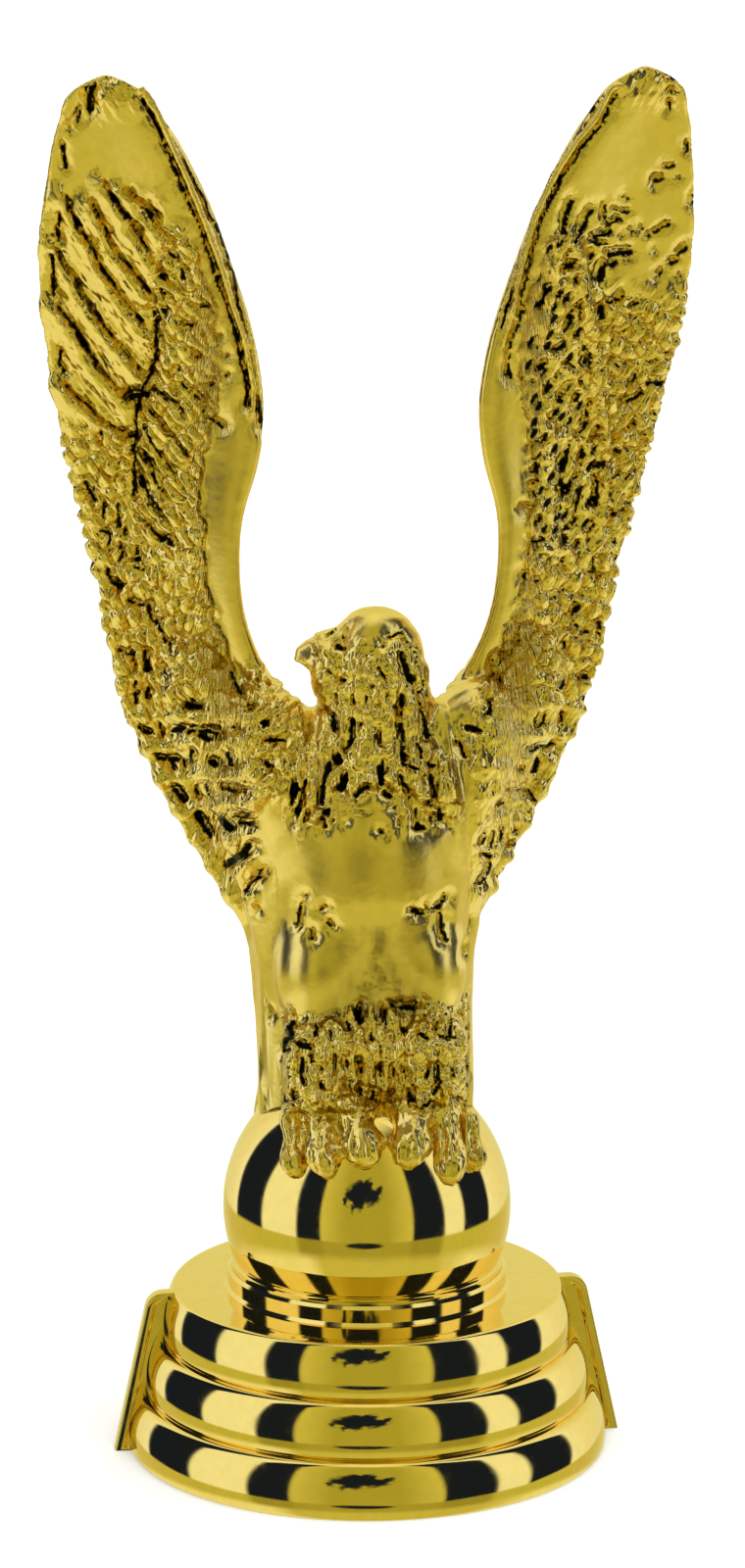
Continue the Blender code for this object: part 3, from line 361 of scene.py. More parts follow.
# Grooves and pits of the body, also darkened with painted shade, with the sideways place counted from the
# middle plane towards +X
BODY_MARKS = (
    # Mane and throat
    (1.2, 2.9, 48.4, 3.5, 47.0, 4.2, 45.2), (0.9, 4.8, 44.0, 5.2, 42.0, 6.0, 39.0),
    (0.9, 3.1, 43.6, 3.0, 41.0, 3.1, 37.2, 3.5, 36.4), (0.7, 4.9, 38.2, 5.2, 36.7),
    (0.4, 1.8, 50.3, 3.0, 50.6, 4.5, 48.5, 5.3, 46.0, 5.7, 43.5), (0.4, -4.3, 44.3, -4.2, 43.2),
    (1.1, -4.4, 41.8, -4.4, 40.2), (0.8, -2.5, 41.0, -2.6, 39.0, -3.2, 37.8), (1.3, -3.8, 37.2, -4.1, 36.7),
    (0.6, -1.6, 40.6), (0.6, 0.6, 39.8, 0.8, 38.4), (0.4, 0.4, 47.0, 1.3, 45.8), (0.6, -0.4, 44.8),
    (0.5, 1.4, 43.9), (0.4, -0.9, 43.6, -1.0, 42.8), (0.5, -0.8, 48.4), (0.5, 0.9, 49.3), (0.4, 0.5, 42.6),
    (0.4, -2.5, 43.8, -2.4, 43.0),
    # Eye, nostril and the line of the beak
    (0.9, -3.9, 49.6, -3.5, 49.4), (0.45, -3.3, 50.2, -2.9, 51.6), (0.35, -5.1, 50.7, -4.2, 51.3),
    (0.35, -6.8, 49.7), (0.35, -6.9, 48.1, -6.3, 47.9), (0.4, -5.7, 46.9, -5.0, 46.6, -4.6, 46.2),
    (0.45, -4.2, 45.8, -3.0, 45.6),
    # Breast feathers
    (1.4, -8.7, 33.8, -9.1, 32.2), (0.5, -7.4, 34.6, -8.3, 31.0), (0.8, -4.8, 36.4, -5.4, 34.4, -5.8, 32.0),
    (1.2, -3.1, 34.8, -3.7, 33.4), (0.5, -6.3, 31.4, -6.1, 30.4), (0.4, -5.2, 31.2), (0.4, -3.9, 30.8),
    (0.7, -2.2, 32.6, -0.8, 33.4), (0.6, 0.7, 35.6, 0.8, 33.8), (1.3, 1.2, 32.8, 1.6, 32.4), (1.0, 0.2, 29.7),
    (1.0, 2.9, 34.8, 3.8, 32.5, 4.2, 30.4), (1.1, 4.1, 30.0, 4.9, 29.8), (0.8, 5.9, 31.4, 5.9, 30.8),
    (0.8, 6.2, 34.6, 6.8, 32.4, 6.8, 30.8), (0.5, 2.3, 31.2, 2.1, 30.0), (0.7, 5.9, 36.0, 6.7, 35.7),
    (0.4, 3.0, 36.0, 4.6, 35.4), (0.5, 1.2, 36.2, 1.0, 35.2),
    # Corners under the chest
    (0.7, -8.8, 21.8, -9.0, 19.4), (0.4, -8.4, 22.8), (0.6, -6.4, 20.9, -6.0, 21.3),
    (0.6, -5.6, 19.5, -5.2, 19.0), (0.5, -7.5, 18.8, -7.5, 17.6), (0.8, 3.6, 20.4, 4.8, 20.3),
    (0.4, 5.1, 21.3, 5.4, 20.6), (0.9, 6.2, 20.8, 7.0, 21.4),
    (0.6, 7.2, 22.2, 6.6, 20.4, 6.9, 18.4, 7.4, 17.0), (0.6, 9.8, 15.9, 9.8, 15.1),
    (0.5, -12.4, 9.2, -12.6, 8.8),
    # Leg tufts
    (1.3, -9.7, 8.0, -10.0, 6.4), (0.5, -10.5, 6.4, -10.6, 4.9), (0.8, -9.2, 6.0, -7.8, 5.2),
    (0.4, -7.6, 5.2, -7.6, 3.8), (0.8, -8.6, 4.2, -8.6, 1.2), (0.5, -7.1, 8.0, -7.1, 6.8), (0.8, -6.6, 3.0),
    (0.5, -3.6, 8.0, -3.6, 6.8), (0.6, -2.3, 9.8, -2.3, 8.0), (0.6, -4.9, 4.4, -4.8, 2.2),
    (0.5, -3.6, 3.9, -3.6, 2.8), (0.6, -3.6, 1.4, -3.6, 0.4), (0.6, -2.3, 4.0, -2.3, 2.0),
    (0.6, -2.3, 0.4, -2.3, -0.6), (0.8, -0.8, -0.2, -0.8, -0.9), (0.5, 0.7, 9.0, 0.7, 7.6),
    (0.8, 2.6, 7.2, 2.6, 6.8), (0.3, 1.2, 9.6, 5.0, 9.4), (0.6, 6.3, 7.8, 6.3, 6.8),
    (0.7, 7.8, 8.2, 7.9, 6.4), (0.5, 6.8, 6.1, 8.2, 5.9), (0.5, 6.3, 4.3),
    (0.7, 6.4, 2.8, 6.7, 0.8, 6.0, -0.6), (0.9, 3.0, -0.1, 3.5, -1.2), (0.5, 9.8, 2.6, 9.8, 1.8),
    (0.5, 9.5, 1.0), (0.6, -9.8, 0.8, -9.4, -0.8), (0.5, -1.0, 6.8, -1.0, 6.0), (0.4, 4.6, 6.6, 5.4, 6.0),
    (0.4, 1.4, 2.6, 1.4, 1.2), (0.4, -5.6, 7.2, -5.4, 6.2), (0.5, 5.4, 2.6, 5.2, 1.4),
    (0.5, 2.6, 2.8, 2.8, 1.6), (0.5, 8.0, 2.4, 8.2, 1.2), (0.5, 0.0, 3.0, 0.0, 1.8),
    (0.5, -6.6, 1.2, -6.4, 0.4), (0.4, -1.2, -2.9, 0.6, -2.7), (0.5, 8.6, -1.2, 9.4, -1.6),
    (0.5, 5.0, -1.8, 6.0, -1.4),
    # Lines on the toes
    (0.35, -9.9, -3.0, -10.2, -6.6), (0.35, -8.7, -3.0, -8.8, -5.6), (0.35, -6.6, -2.6, -6.8, -5.6),
    (0.35, -5.0, -2.4, -5.2, -6.4), (0.35, -2.8, -4.6, -2.9, -6.2), (0.35, -1.2, -4.8, -0.9, -7.2),
    (0.35, 3.4, -5.6, 3.1, -7.2), (0.35, 4.8, -4.6, 4.8, -6.8), (0.35, 6.9, -4.2, 7.0, -7.4),
    (0.35, 8.6, -3.8, 8.7, -7.0), (0.35, 10.3, -5.0, 10.6, -7.4), (0.5, -7.5, -8.6, -7.6, -6.6),
    (0.5, -3.9, -3.2, -4.0, -6.4), (0.5, 0.9, -6.6, 0.4, -8.2), (0.4, -1.6, -9.1, -0.4, -9.1),
)
# The bright ridge along the leading rim
RIM_RIDGE_OFFSET = 0.8
RIM_RIDGE_WIDTH = 0.55
RIM_RIDGE_HEIGHT = 0.75
RIM_RIDGE_REACH = 2.2

# How deep the marks cut and how the skin is carved
MARK_DEPTH = 0.55
MARK_SHOULDER = 0.7
BARB_WIDTH = 0.55
BARB_LENGTH = 2.2
BACK_RELIEF = 0.9
BACK_CARVED = 0.25
SURROUND_CARVED = 0.4

# Distances between the waves and grains of the plating
WAVE_SPACING = 6.0
HAZE_SPACING = 1.2
TOOL_SPACING = 1.5
PEEL_SPACING = 1.8

# The stage: floor in metres, light in degrees
FLOOR_RADIUS = 6.0
FLOOR_SIDES = 96
KEY_SPREAD = 70
KEY_TURN = (18, 8)

# Colours as sRGB hex values; SHADE_HEX is the painted shade in the gaps between the feathers
PLATING_HEX = "F9DD81"
SHADE_HEX = "14120A"
FLOOR_HEX = "F6F6F4"
PAPER_WHITE = (0.95, 0.95, 0.94)

# What the plating mirrors, by the angle from the eye: bright panels, black flags and the dim room
PANEL_LIGHT = (0.98, 1.03, 1.02)
LIMB_LIGHT = (0.90, 0.88, 0.62)
ROOM_LIGHT = (0.44, 0.43, 0.085)
ROOM_SIDE = (0.66, 0.64, 0.20)
FLAG_LIGHT = (0.010, 0.015, 0.045)
BACK_LIGHT = (0.81, 0.80, 0.42)
TABLE_MIDDLE = (0.42, 0.40, 0.085)
TABLE_NEAR = (0.36, 0.34, 0.07)
TABLE_SIDE = (0.58, 0.57, 0.14)
TABLE_FAR = (0.66, 0.60, 0.22)
GROUND_LIGHT = (0.62, 0.60, 0.18)
PAPER_LIGHT = (0.92, 0.92, 0.62)
TOP_LIGHT = (0.95, 0.94, 0.66)
STRIPES = (
    (-180, BACK_LIGHT), (-158, BACK_LIGHT), (-140, LIMB_LIGHT), (-127, PANEL_LIGHT), (-125, FLAG_LIGHT),
    (-93, FLAG_LIGHT), (-91, PANEL_LIGHT), (-59, PANEL_LIGHT), (-57, FLAG_LIGHT), (-38, FLAG_LIGHT),
    (-36, ROOM_SIDE), (-16, ROOM_LIGHT), (16, ROOM_LIGHT), (36, ROOM_SIDE), (38, FLAG_LIGHT),
    (63, FLAG_LIGHT), (65, PANEL_LIGHT), (82, PANEL_LIGHT), (84, FLAG_LIGHT), (112, FLAG_LIGHT),
    (114, PANEL_LIGHT), (135, LIMB_LIGHT), (158, BACK_LIGHT), (180, BACK_LIGHT),
)
TABLE = (
    (-180, BACK_LIGHT), (-140, TABLE_FAR), (-95, TABLE_SIDE), (-60, TABLE_SIDE), (-55, TABLE_NEAR),
    (-38, TABLE_NEAR), (-34, TABLE_MIDDLE), (34, TABLE_MIDDLE), (38, TABLE_NEAR), (60, TABLE_NEAR),
    (65, TABLE_SIDE), (95, TABLE_SIDE), (140, TABLE_FAR), (180, BACK_LIGHT),
)
GROUND = (
    (-180, BACK_LIGHT), (-130, PAPER_LIGHT), (-50, PAPER_LIGHT), (-38, GROUND_LIGHT), (62, GROUND_LIGHT),
    (96, PAPER_LIGHT), (150, PAPER_LIGHT), (180, BACK_LIGHT),
)
# The camera and its stand behind the eye, in degrees: middle and half width round it, lower and upper height
CAMERA_SHAPE = ((-4, 16), (13, 34))
STAND_SHAPE = ((-2, 15), (-19.5, -14.5))


def linear(hex_value):
    """Linear colour with full alpha from an sRGB hex value."""
    parts = [int(hex_value[k : k + 2], 16) / 255 for k in (0, 2, 4)]
    return tuple(p / 12.92 if p <= 0.04045 else ((p + 0.055) / 1.055) ** 2.4 for p in parts) + (1.0,)


def share_of_turn(degrees):
    """Place in a ramp of an angle round the eye."""
    return (degrees + 180) / 360


def share_of_rise(degrees):
    """Place in a ramp of a height, which runs as the sine from straight down to straight up."""
    return 0.5 + 0.5 * math.sin(math.radians(degrees))


# Helpers for curves and meshes


def smooth_curve(points, at):
    """A smooth curve through points (height, value), read at the heights in at."""
    knots = np.array([p[0] for p in points], float)
    values = np.array([p[1] for p in points], float)
    slopes = np.gradient(values, knots)
    at = np.clip(np.asarray(at, float), knots[0], knots[-1])
    i = np.clip(np.searchsorted(knots, at) - 1, 0, len(knots) - 2)
    span = knots[i + 1] - knots[i]
    t = (at - knots[i]) / span
    return (
        (2 * t**3 - 3 * t**2 + 1) * values[i]
        + (t**3 - 2 * t**2 + t) * span * slopes[i]
        + (3 * t**2 - 2 * t**3) * values[i + 1]
        + (t**3 - t**2) * span * slopes[i + 1]
    )


def smooth_step(low, high, value):
    """0 below low, 1 above high and a soft rise between them."""
    t = np.clip((np.asarray(value, float) - low) / (high - low), 0.0, 1.0)
    return t * t * (3 - 2 * t)


def new_object(name, mesh):
    obj = bpy.data.objects.new(name, mesh)
    bpy.context.scene.collection.objects.link(obj)
    return obj


def mesh_from_bmesh(name, bm):
    bmesh.ops.recalc_face_normals(bm, faces=bm.faces[:])
    mesh = bpy.data.meshes.new(name)
    bm.to_mesh(mesh)
    bm.free()
    return mesh


def loft(bm, rings):
    """A closed skin over rings of points, with both ends filled."""
    made = [[bm.verts.new(point) for point in ring] for ring in rings]
    for low, high in zip(made, made[1:]):
        count = len(low)
        for k in range(count):
            bm.faces.new((low[k], low[(k + 1) % count], high[(k + 1) % count], high[k]))
    bm.faces.new(tuple(reversed(made[0])))
    bm.faces.new(tuple(made[-1]))


def figure_z(height):
    """World height of a height above the top of the ball."""
    return PERCH_Z + height


def ellipse_ring(middle, across, along, sides):
    """Points round an ellipse with the half axes across and along, which are vectors."""
    turns = [2 * math.pi * k / sides for k in range(sides)]
    return [middle + across * math.cos(turn) + along * math.sin(turn) for turn in turns]


def wing_edge_depth(z):
    """How far back (+Y) the leading and the trailing edge lie at a height."""
    lead = -WING_LEAN * np.clip((z - WING_LEAN_FROM) / (WING_TIP - WING_LEAN_FROM), 0, 1) ** 1.2
    back = WING_SWEEP * np.sin(math.pi * np.clip((WING_TIP - z) / WING_SWEEP_SPAN, 0, 1)) ** 0.8
    return lead, lead + back


def wing_middle(share, z):
    """The sheet in the middle of the wing: x and y at a share of the chord and a height."""
    inner = smooth_curve(WING_INNER_EDGE, z)
    outer = smooth_curve(WING_OUTER_EDGE, z)
    lead, trail = wing_edge_depth(z)
    x = inner + (outer - inner) * share
    y = lead + (trail - lead) * share + WING_CAMBER * 4 * share * (1 - share)
    return x, y


def wing_half_thickness(share, chord, z):
    """Half the wing's thickness: a round nose, then a long taper to a thin round tail."""
    thickest = WING_NOSE_HALF + (WING_ROOT_HALF - WING_NOSE_HALF) * smooth_step(54.0, 26.0, z)
    nose = min(0.5, WING_NOSE_LENGTH / max(chord, 0.1))
    rise = np.sqrt(np.clip(1 - (1 - np.clip(share / nose, 0, 1)) ** 2, 0, 1))
    fall = thickest + (WING_TAIL_HALF - thickest) * smooth_step(nose, 1.0, share)
    end = np.sqrt(1 - np.clip((share - 0.93) / 0.07, 0, 1) ** 2)
    return rise * fall * end


def wing_rings(side):
    """Level sections of one wing from its root inside the body up to its tip."""
    shares = 0.5 - 0.5 * np.cos(np.linspace(0, math.pi, WING_CHORD_POINTS))
    rings = []
    for k in range(WING_SECTIONS + 1):
        z = WING_FOOT + (WING_TIP - WING_FOOT) * math.sin(0.5 * math.pi * k / WING_SECTIONS)
        chord = float(smooth_curve(WING_OUTER_EDGE, z) - smooth_curve(WING_INNER_EDGE, z))
        slim = min(1.0, chord / WING_SLIM_CHORD)
        x, y = wing_middle(shares, np.full_like(shares, z))
        half = wing_half_thickness(shares, chord, z) * slim
        front = [(side * a, b - h, z) for a, b, h in zip(x, y, half)]
        back = [(side * a, b + h, z) for a, b, h in zip(x, y, half)]
        ring = front + back[-2:0:-1]
        rings.append([Vector((a, b, figure_z(c))) for a, b, c in ring])
    return rings


def torso_rings():
    rings = []
    heights = np.linspace(TORSO[0][0], TORSO[-1][0], TORSO_STATIONS)
    columns = [smooth_curve([(row[0], row[k]) for row in TORSO], heights) for k in range(1, 5)]
    for z, x, y, half_width, half_depth in zip(heights, *columns):
        middle = Vector((x, y, figure_z(z)))
        across, along = Vector((half_width, 0, 0)), Vector((0, half_depth, 0))
        rings.append(ellipse_ring(middle, across, along, TORSO_SIDES))
    return rings


def slab_ring(middle, half_width, outward, half_thickness):
    """A flat section with round ends, thick along outward and wide along X."""
    ring = []
    for k in range(SLAB_POINTS):
        turn = 2 * math.pi * k / SLAB_POINTS
        across = math.copysign(abs(math.cos(turn)) ** 0.35, math.cos(turn)) * half_width
        bow = TAIL_BOW * (1 - (across / half_width) ** 2)
        along = math.copysign(abs(math.sin(turn)) ** 0.6, math.sin(turn)) * half_thickness
        ring.append(middle + Vector((across, 0, 0)) + outward * (along + bow))
    return ring


def tail_rings():
    """The tail: straight down the back, then draped over the ball's back."""
    rings = []
    for z, y, half_width, half_thickness in TAIL_TOP:
        middle = Vector((0, y, figure_z(z)))
        rings.append(slab_ring(middle, half_width, Vector((0, 1, 0)), half_thickness))
    for angle, half_width in TAIL_DRAPE:
        outward = Vector((0, math.cos(math.radians(angle)), math.sin(math.radians(angle))))
        middle = Vector((0, 0, BALL_Z)) + outward * (BALL_RADIUS - TAIL_SINK)
        rings.append(slab_ring(middle, half_width, outward, TAIL_HALF_THICKNESS))
    return rings


def add_mass(bm, middle, radii, lean, splay, side=1):
    """One ellipsoid of clay."""
    place = Matrix.Translation(Vector((side * middle[0], middle[1], figure_z(middle[2]))))
    turn = Matrix.Rotation(math.radians(side * splay), 4, "Y") @ Matrix.Rotation(math.radians(lean), 4, "X")
    size = Matrix.Diagonal(Vector(radii)).to_4x4()
    bmesh.ops.create_uvsphere(
        bm, u_segments=MASS_SEGMENTS, v_segments=MASS_RINGS, radius=1.0, matrix=place @ turn @ size
    )


def beak_rings():
    rings = []
    previous = None
    for x, y, z, half_width, half_height in BEAK:
        middle = Vector((x, y, figure_z(z)))
        ahead = (middle - previous).normalized() if previous else Vector((-1, 0, 0))
        previous = middle
        upward = Vector((0, 1, 0)).cross(ahead).normalized()
        rings.append(ellipse_ring(middle, Vector((0, half_width, 0)), upward * half_height, BEAK_SIDES))
    return rings


def ball_point(x, angle, height):
    """A point over the ball's front: a sideways place, an angle above its equator and a height off it."""
    reach = math.sqrt(max((BALL_RADIUS + height) ** 2 - x**2, 0.0))
    turn = math.radians(angle)
    return Vector((x, -reach * math.cos(turn), BALL_Z + reach * math.sin(turn)))


def toe_rings(root_x, tip_x, tip_angle, widest):
    """One toe with a bulging pad and a claw, laid over the front of the ball."""
    rings = []
    for k in range(TOE_STATIONS):
        along = k / (TOE_STATIONS - 1)
        angle = TOE_ROOT_ANGLE + (tip_angle - TOE_ROOT_ANGLE) * along
        x = (root_x + (tip_x - root_x) * along)
        girth = widest * (1.0 + TOE_SWELL * math.sin(3 * math.pi * along))
        rounding = max(0.0, (along - TOE_ROUNDING_FROM) / (1 - TOE_ROUNDING_FROM))
        girth *= math.sqrt(max(0.05, 1 - rounding**2))
        middle = ball_point(x, angle, TOE_LIFT)
        outward = (middle - Vector((0, 0, BALL_Z))).normalized()
        rings.append(ellipse_ring(middle, Vector((girth, 0, 0)), outward * girth * 0.9, TOE_SIDES))
    return rings


def flank_rings():
    """The body's flat front with its slanting sides, wide above where the wings spring."""
    rings = []
    for z, half_width, front, slant in FLANKS:
        corners = ((half_width, 0.0), (half_width, FLANK_BACK), (-half_width, FLANK_BACK), (-half_width, 0.0))
        corners += ((slant - half_width, front), (half_width - slant, front))
        rings.append([Vector((x, y, figure_z(z))) for x, y in corners])
    return rings


def body_clay():
    """The masses of the trunk, which flow into each other: torso, flanks, shoulders, breast and thighs."""
    bm = bmesh.new()
    loft(bm, torso_rings())
    loft(bm, flank_rings())
    for middle, radii, lean, splay in MASSES:
        for side in (1, -1) if middle[0] else (1,):
            add_mass(bm, middle, radii, lean, splay, side)
    return mesh_from_bmesh("body_clay", bm)


def soft_clay():
    """The forms that keep more of their edge: wings, tail, skull and the tufts on the legs."""
    bm = bmesh.new()
    for side in (1, -1):
        loft(bm, wing_rings(side))
    loft(bm, tail_rings())
    for middle, radii, lean, splay in TUFT_MASSES:
        for side in (1, -1) if middle[0] else (1,):
            add_mass(bm, middle, radii, lean, splay, side)
    for middle, radii, lean, splay in SKULL_MASSES:
        add_mass(bm, middle, radii, lean, splay)
    return mesh_from_bmesh("soft_clay", bm)


def crisp_clay():
    """The small forms that stay sharp: the beak and the toes."""
    bm = bmesh.new()
    loft(bm, beak_rings())
    for toe in TOES:
        loft(bm, toe_rings(*toe))
    return mesh_from_bmesh("crisp_clay", bm)


def evaluated_mesh(obj):
    """The object's mesh with its modifiers applied. The object itself is removed."""
    graph = bpy.context.evaluated_depsgraph_get()
    mesh = bpy.data.meshes.new_from_object(obj.evaluated_get(graph))
    bpy.data.objects.remove(obj, do_unlink=True)
    return mesh


def fused(mesh, cell, softening):
    """One closed skin round all the shells of a mesh, softened a little."""
    obj = new_object("clay", mesh)
    remesh = obj.modifiers.new("Fuse", "REMESH")
    remesh.mode = "VOXEL"
    remesh.voxel_size = cell
    soften = obj.modifiers.new("Soften", "SMOOTH")
    soften.factor = 0.5
    soften.iterations = softening
    return evaluated_mesh(obj)


def joined(*meshes):
    bm = bmesh.new()
    for mesh in meshes:
        bm.from_mesh(mesh)
    made = bpy.data.meshes.new("joined")
    bm.to_mesh(made)
    bm.free()
    return made


def mesh_points(mesh, kind="co"):
    """The mesh's points, or its point normals, as rows of three."""
    rows = np.empty(len(mesh.vertices) * 3, np.float32)
    mesh.vertices.foreach_get(kind, rows)
    return rows.reshape(-1, 3).astype(float)


# Carving


def line_distance(u, v, points, reach):
    """Distance of each place (u, v) from a line through points, negative on its right, at most reach."""
    pairs = [(points[k], points[k + 1]) for k in range(0, len(points), 2)]
    if len(pairs) == 1:
        pairs = pairs * 2
    low_u = min(p[0] for p in pairs) - reach
    high_u = max(p[0] for p in pairs) + reach
    low_v = min(p[1] for p in pairs) - reach
    high_v = max(p[1] for p in pairs) + reach
    found = np.full(len(u), reach)
    near = np.flatnonzero((u > low_u) & (u < high_u) & (v > low_v) & (v < high_v))
    if not len(near):
        return found
    best = np.full(len(near), reach)
    for (ax, ay), (bx, by) in zip(pairs, pairs[1:]):
        dx, dy = bx - ax, by - ay
        span = dx * dx + dy * dy
        off_u, off_v = u[near] - ax, v[near] - ay
        t = np.clip((off_u * dx + off_v * dy) / span, 0, 1) if span else 0.0
        away = np.hypot(off_u - t * dx, off_v - t * dy)
        best = np.where(away < np.abs(best), np.copysign(away, dx * off_v - dy * off_u), best)
    found[near] = best
    return found


def blades(u, v, lines, shape):
    """Relief of long feathers: each rises by a step at its line and slopes off to the line's left."""
    reach, height = shape
    relief = np.zeros(len(u))
    for _, *points in lines:
        away = line_distance(u, v, points, reach)
        relief = np.maximum(relief, np.where(away > 0, height * (1 - away / reach), 0.0))
    return relief


def streaks(u, v, angle, across, along, seed):
    """Smooth random streaks from -1 to 1 that lean from upright by the angle."""
    turn = math.radians(angle)
    a = (u * math.cos(turn) - v * math.sin(turn)) / across
    b = (u * math.sin(turn) + v * math.cos(turn)) / along
    a0, b0 = np.floor(a), np.floor(b)
    fa, fb = smooth_step(0, 1, a - a0), smooth_step(0, 1, b - b0)

    def chance(i, j):
        return np.mod(np.sin((a0 + i) * 127.1 + (b0 + j) * 311.7 + seed) * 43758.5453, 1.0)

    low = chance(0, 0) * (1 - fa) + chance(1, 0) * fa
    high = chance(0, 1) * (1 - fa) + chance(1, 1) * fa
    return 2 * (low * (1 - fb) + high * fb) - 1


def marked(u, v, marks):
    """Depth share (0 to 1) and soft surround of the grooves and pits at each place."""
    depth = np.zeros(len(u))
    surround = np.zeros(len(u))
    thick = 0.78 + 0.3 * streaks(u, v, 0.0, 0.7, 0.7, 5.0)
    u = u + 0.20 * streaks(u, v, 0.0, 1.1, 1.1, 1.0) + 0.08 * streaks(u, v, 0.0, 0.45, 0.45, 2.0)
    v = v + 0.20 * streaks(u, v, 0.0, 1.1, 1.1, 3.0) + 0.08 * streaks(u, v, 0.0, 0.45, 0.45, 4.0)
    for width, *points in marks:
        away = np.abs(line_distance(u, v, points, 0.5 * width + 1.4))
        inner, outer = 0.18 * width * thick, 0.46 * width * thick + 0.1
        depth = np.maximum(depth, 1 - smooth_step(0, 1, (away - inner) / (outer - inner)))
        amount = min(1.0, 0.45 + 0.6 * width)
        surround = np.maximum(surround, amount * (1 - smooth_step(0.0, 0.5 * width + 1.25, away)))
    return depth, surround


def cells(u, v, seed):
    """Distances to the two nearest of scattered points, and how far along u the nearest lies."""
    corner_u, corner_v = np.floor(u), np.floor(v)
    near = np.full(len(u), 9.0)
    second = np.full(len(u), 9.0)
    lean = np.zeros(len(u))
    for step_u in (-1, 0, 1):
        for step_v in (-1, 0, 1):
            a, b = corner_u + step_u, corner_v + step_v
            jitter_u = np.mod(np.sin(a * 127.1 + b * 311.7 + seed) * 43758.5453, 1.0)
            jitter_v = np.mod(np.sin(a * 269.5 + b * 183.3 + seed) * 27183.1459, 1.0)
            off_u = u - a - 0.15 - 0.7 * jitter_u
            away = np.hypot(off_u, v - b - 0.15 - 0.7 * jitter_v)
            second = np.minimum(second, np.maximum(near, away))
            lean = np.where(away < near, off_u, lean)
            near = np.minimum(near, away)
    return near, second, lean


def scales(u, v, angle, width, length, seed, tilt=0.6):
    """Relief of small overlapping feathers, 0 in the gaps to 1 on their backs, leaning by the angle."""
    turn = math.radians(angle)
    along = (u * math.sin(turn) + v * math.cos(turn)) / length
    across = (u * math.cos(turn) - v * math.sin(turn)) / width
    near, second, lean = cells(across, along, seed)
    edge = smooth_step(0.0, 0.25, second - near)
    return edge * (0.35 + 0.65 * (1 - np.clip(near / 0.75, 0, 1) ** 2) - tilt * lean)


def pits(u, v, angle, width, length, seed):
    """Relief of a net with oval pits, 0 in the pits to 1 on the threads between them."""
    turn = math.radians(angle)
    along = (u * math.sin(turn) + v * math.cos(turn)) / length
    across = (u * math.cos(turn) - v * math.sin(turn)) / width
    near, _, _ = cells(across, along, seed)
    return smooth_step(0.14, 0.46, near)


def feather_heights(x, z, root_x, root_z, angle, length, width, lift):
    """Relief of one feather at points of the wing's back: a domed blade that rises to a round tip."""
    turn = math.radians(angle)
    along = ((x - root_x) * math.sin(turn) + (z - root_z) * math.cos(turn)) / length
    across = ((x - root_x) * math.cos(turn) - (z - root_z) * math.sin(turn)) / (0.5 * width)
    tip = np.clip((along - 0.72) / 0.28, 0, 1)
    blade = np.sqrt(1 - tip**2)
    edge = smooth_step(0.0, 0.2, blade - np.abs(across)) * smooth_step(0.0, 0.1, along)
    return (lift + 0.25 * along + 0.6 * (1 - across**2)) * edge


def fan(at):
    """Root, angle, length and width of the flight feather at a share of the way up the wing."""
    rows = (FAN_ROOT_X, FAN_ROOT_Z, FAN_ANGLE, FAN_LENGTH, FAN_WIDTH)
    return [float(np.interp(at, FAN_AT, row)) for row in rows]


def back_relief(x, z):
    """Plain overlapping feathers of the wing's back."""
    relief = np.zeros_like(x)
    for at in np.linspace(0, 1, FLIGHT_FEATHERS):
        root_x, root_z, angle, length, width = fan(at)
        relief = np.maximum(relief, feather_heights(x, z, root_x, root_z, angle, length, width, 0.0))
    for offset, length, count, lift in COVERT_ROWS:
        for at in np.linspace(0, 1, count):
            root_x, root_z, angle, _, width = fan(at)
            height = feather_heights(x, z, root_x + offset, root_z, angle, length, width, lift)
            relief = np.maximum(relief, height)
    from_edge = x - smooth_curve(WING_INNER_EDGE, z)
    fade_lead = smooth_step(2.6, 3.8, np.where(z > 38.0, from_edge, 4.4))
    fade_tip = 1 - smooth_step(99.0, 102.0, z)
    fade_root = smooth_step(9.5, 15.0, x) * smooth_step(15.0, 18.0, z)
    from_rim = smooth_curve(WING_OUTER_EDGE, z) - x
    fade_rim = 0.35 + 0.65 * smooth_step(0.0, 2.4, from_rim)
    relief *= fade_lead * fade_tip * fade_root * fade_rim
    # Small feathers down the back and long feathers side by side in the tail
    trunk = (1 - smooth_step(9.0, 13.0, x)) * smooth_step(14.0, 18.0, z) * (1 - smooth_step(44.0, 48.0, z))
    tail = smooth_step(14.0, 8.0, z) * smooth_step(TAIL_REACH, TAIL_REACH - 1.5, x)
    groove = np.abs(np.sin(math.pi * x / TAIL_FEATHER + 0.5 * math.pi))
    return relief + 0.45 * trunk * scales(x, z, 0.0, 2.6, 4.6, 37.0, 0.2) + 0.5 * tail * np.sqrt(groove)


RIB = ((40.0, 19.5), (60.0, 25.6), (70.6, 26.0), (76.7, 24.9), (83.9, 24.0), (90.0, 22.9), (96.0, 22.0))
BAND = (
    (43.5, 12.9), (47.3, 14.9), (55.2, 17.0), (63.1, 17.8), (70.4, 17.6), (77.5, 15.9), (85.8, 16.6),
    (92.9, 19.0), (101.5, 22.0),
)


def rim_ridge(x, z, line):
    """Share of the thin bright ridge that runs along the leading rim, a little outside a dark line."""
    away = np.abs(line_distance(x, z, line, RIM_RIDGE_REACH) + RIM_RIDGE_OFFSET)
    return 1 - smooth_step(0.1, RIM_RIDGE_WIDTH, away)


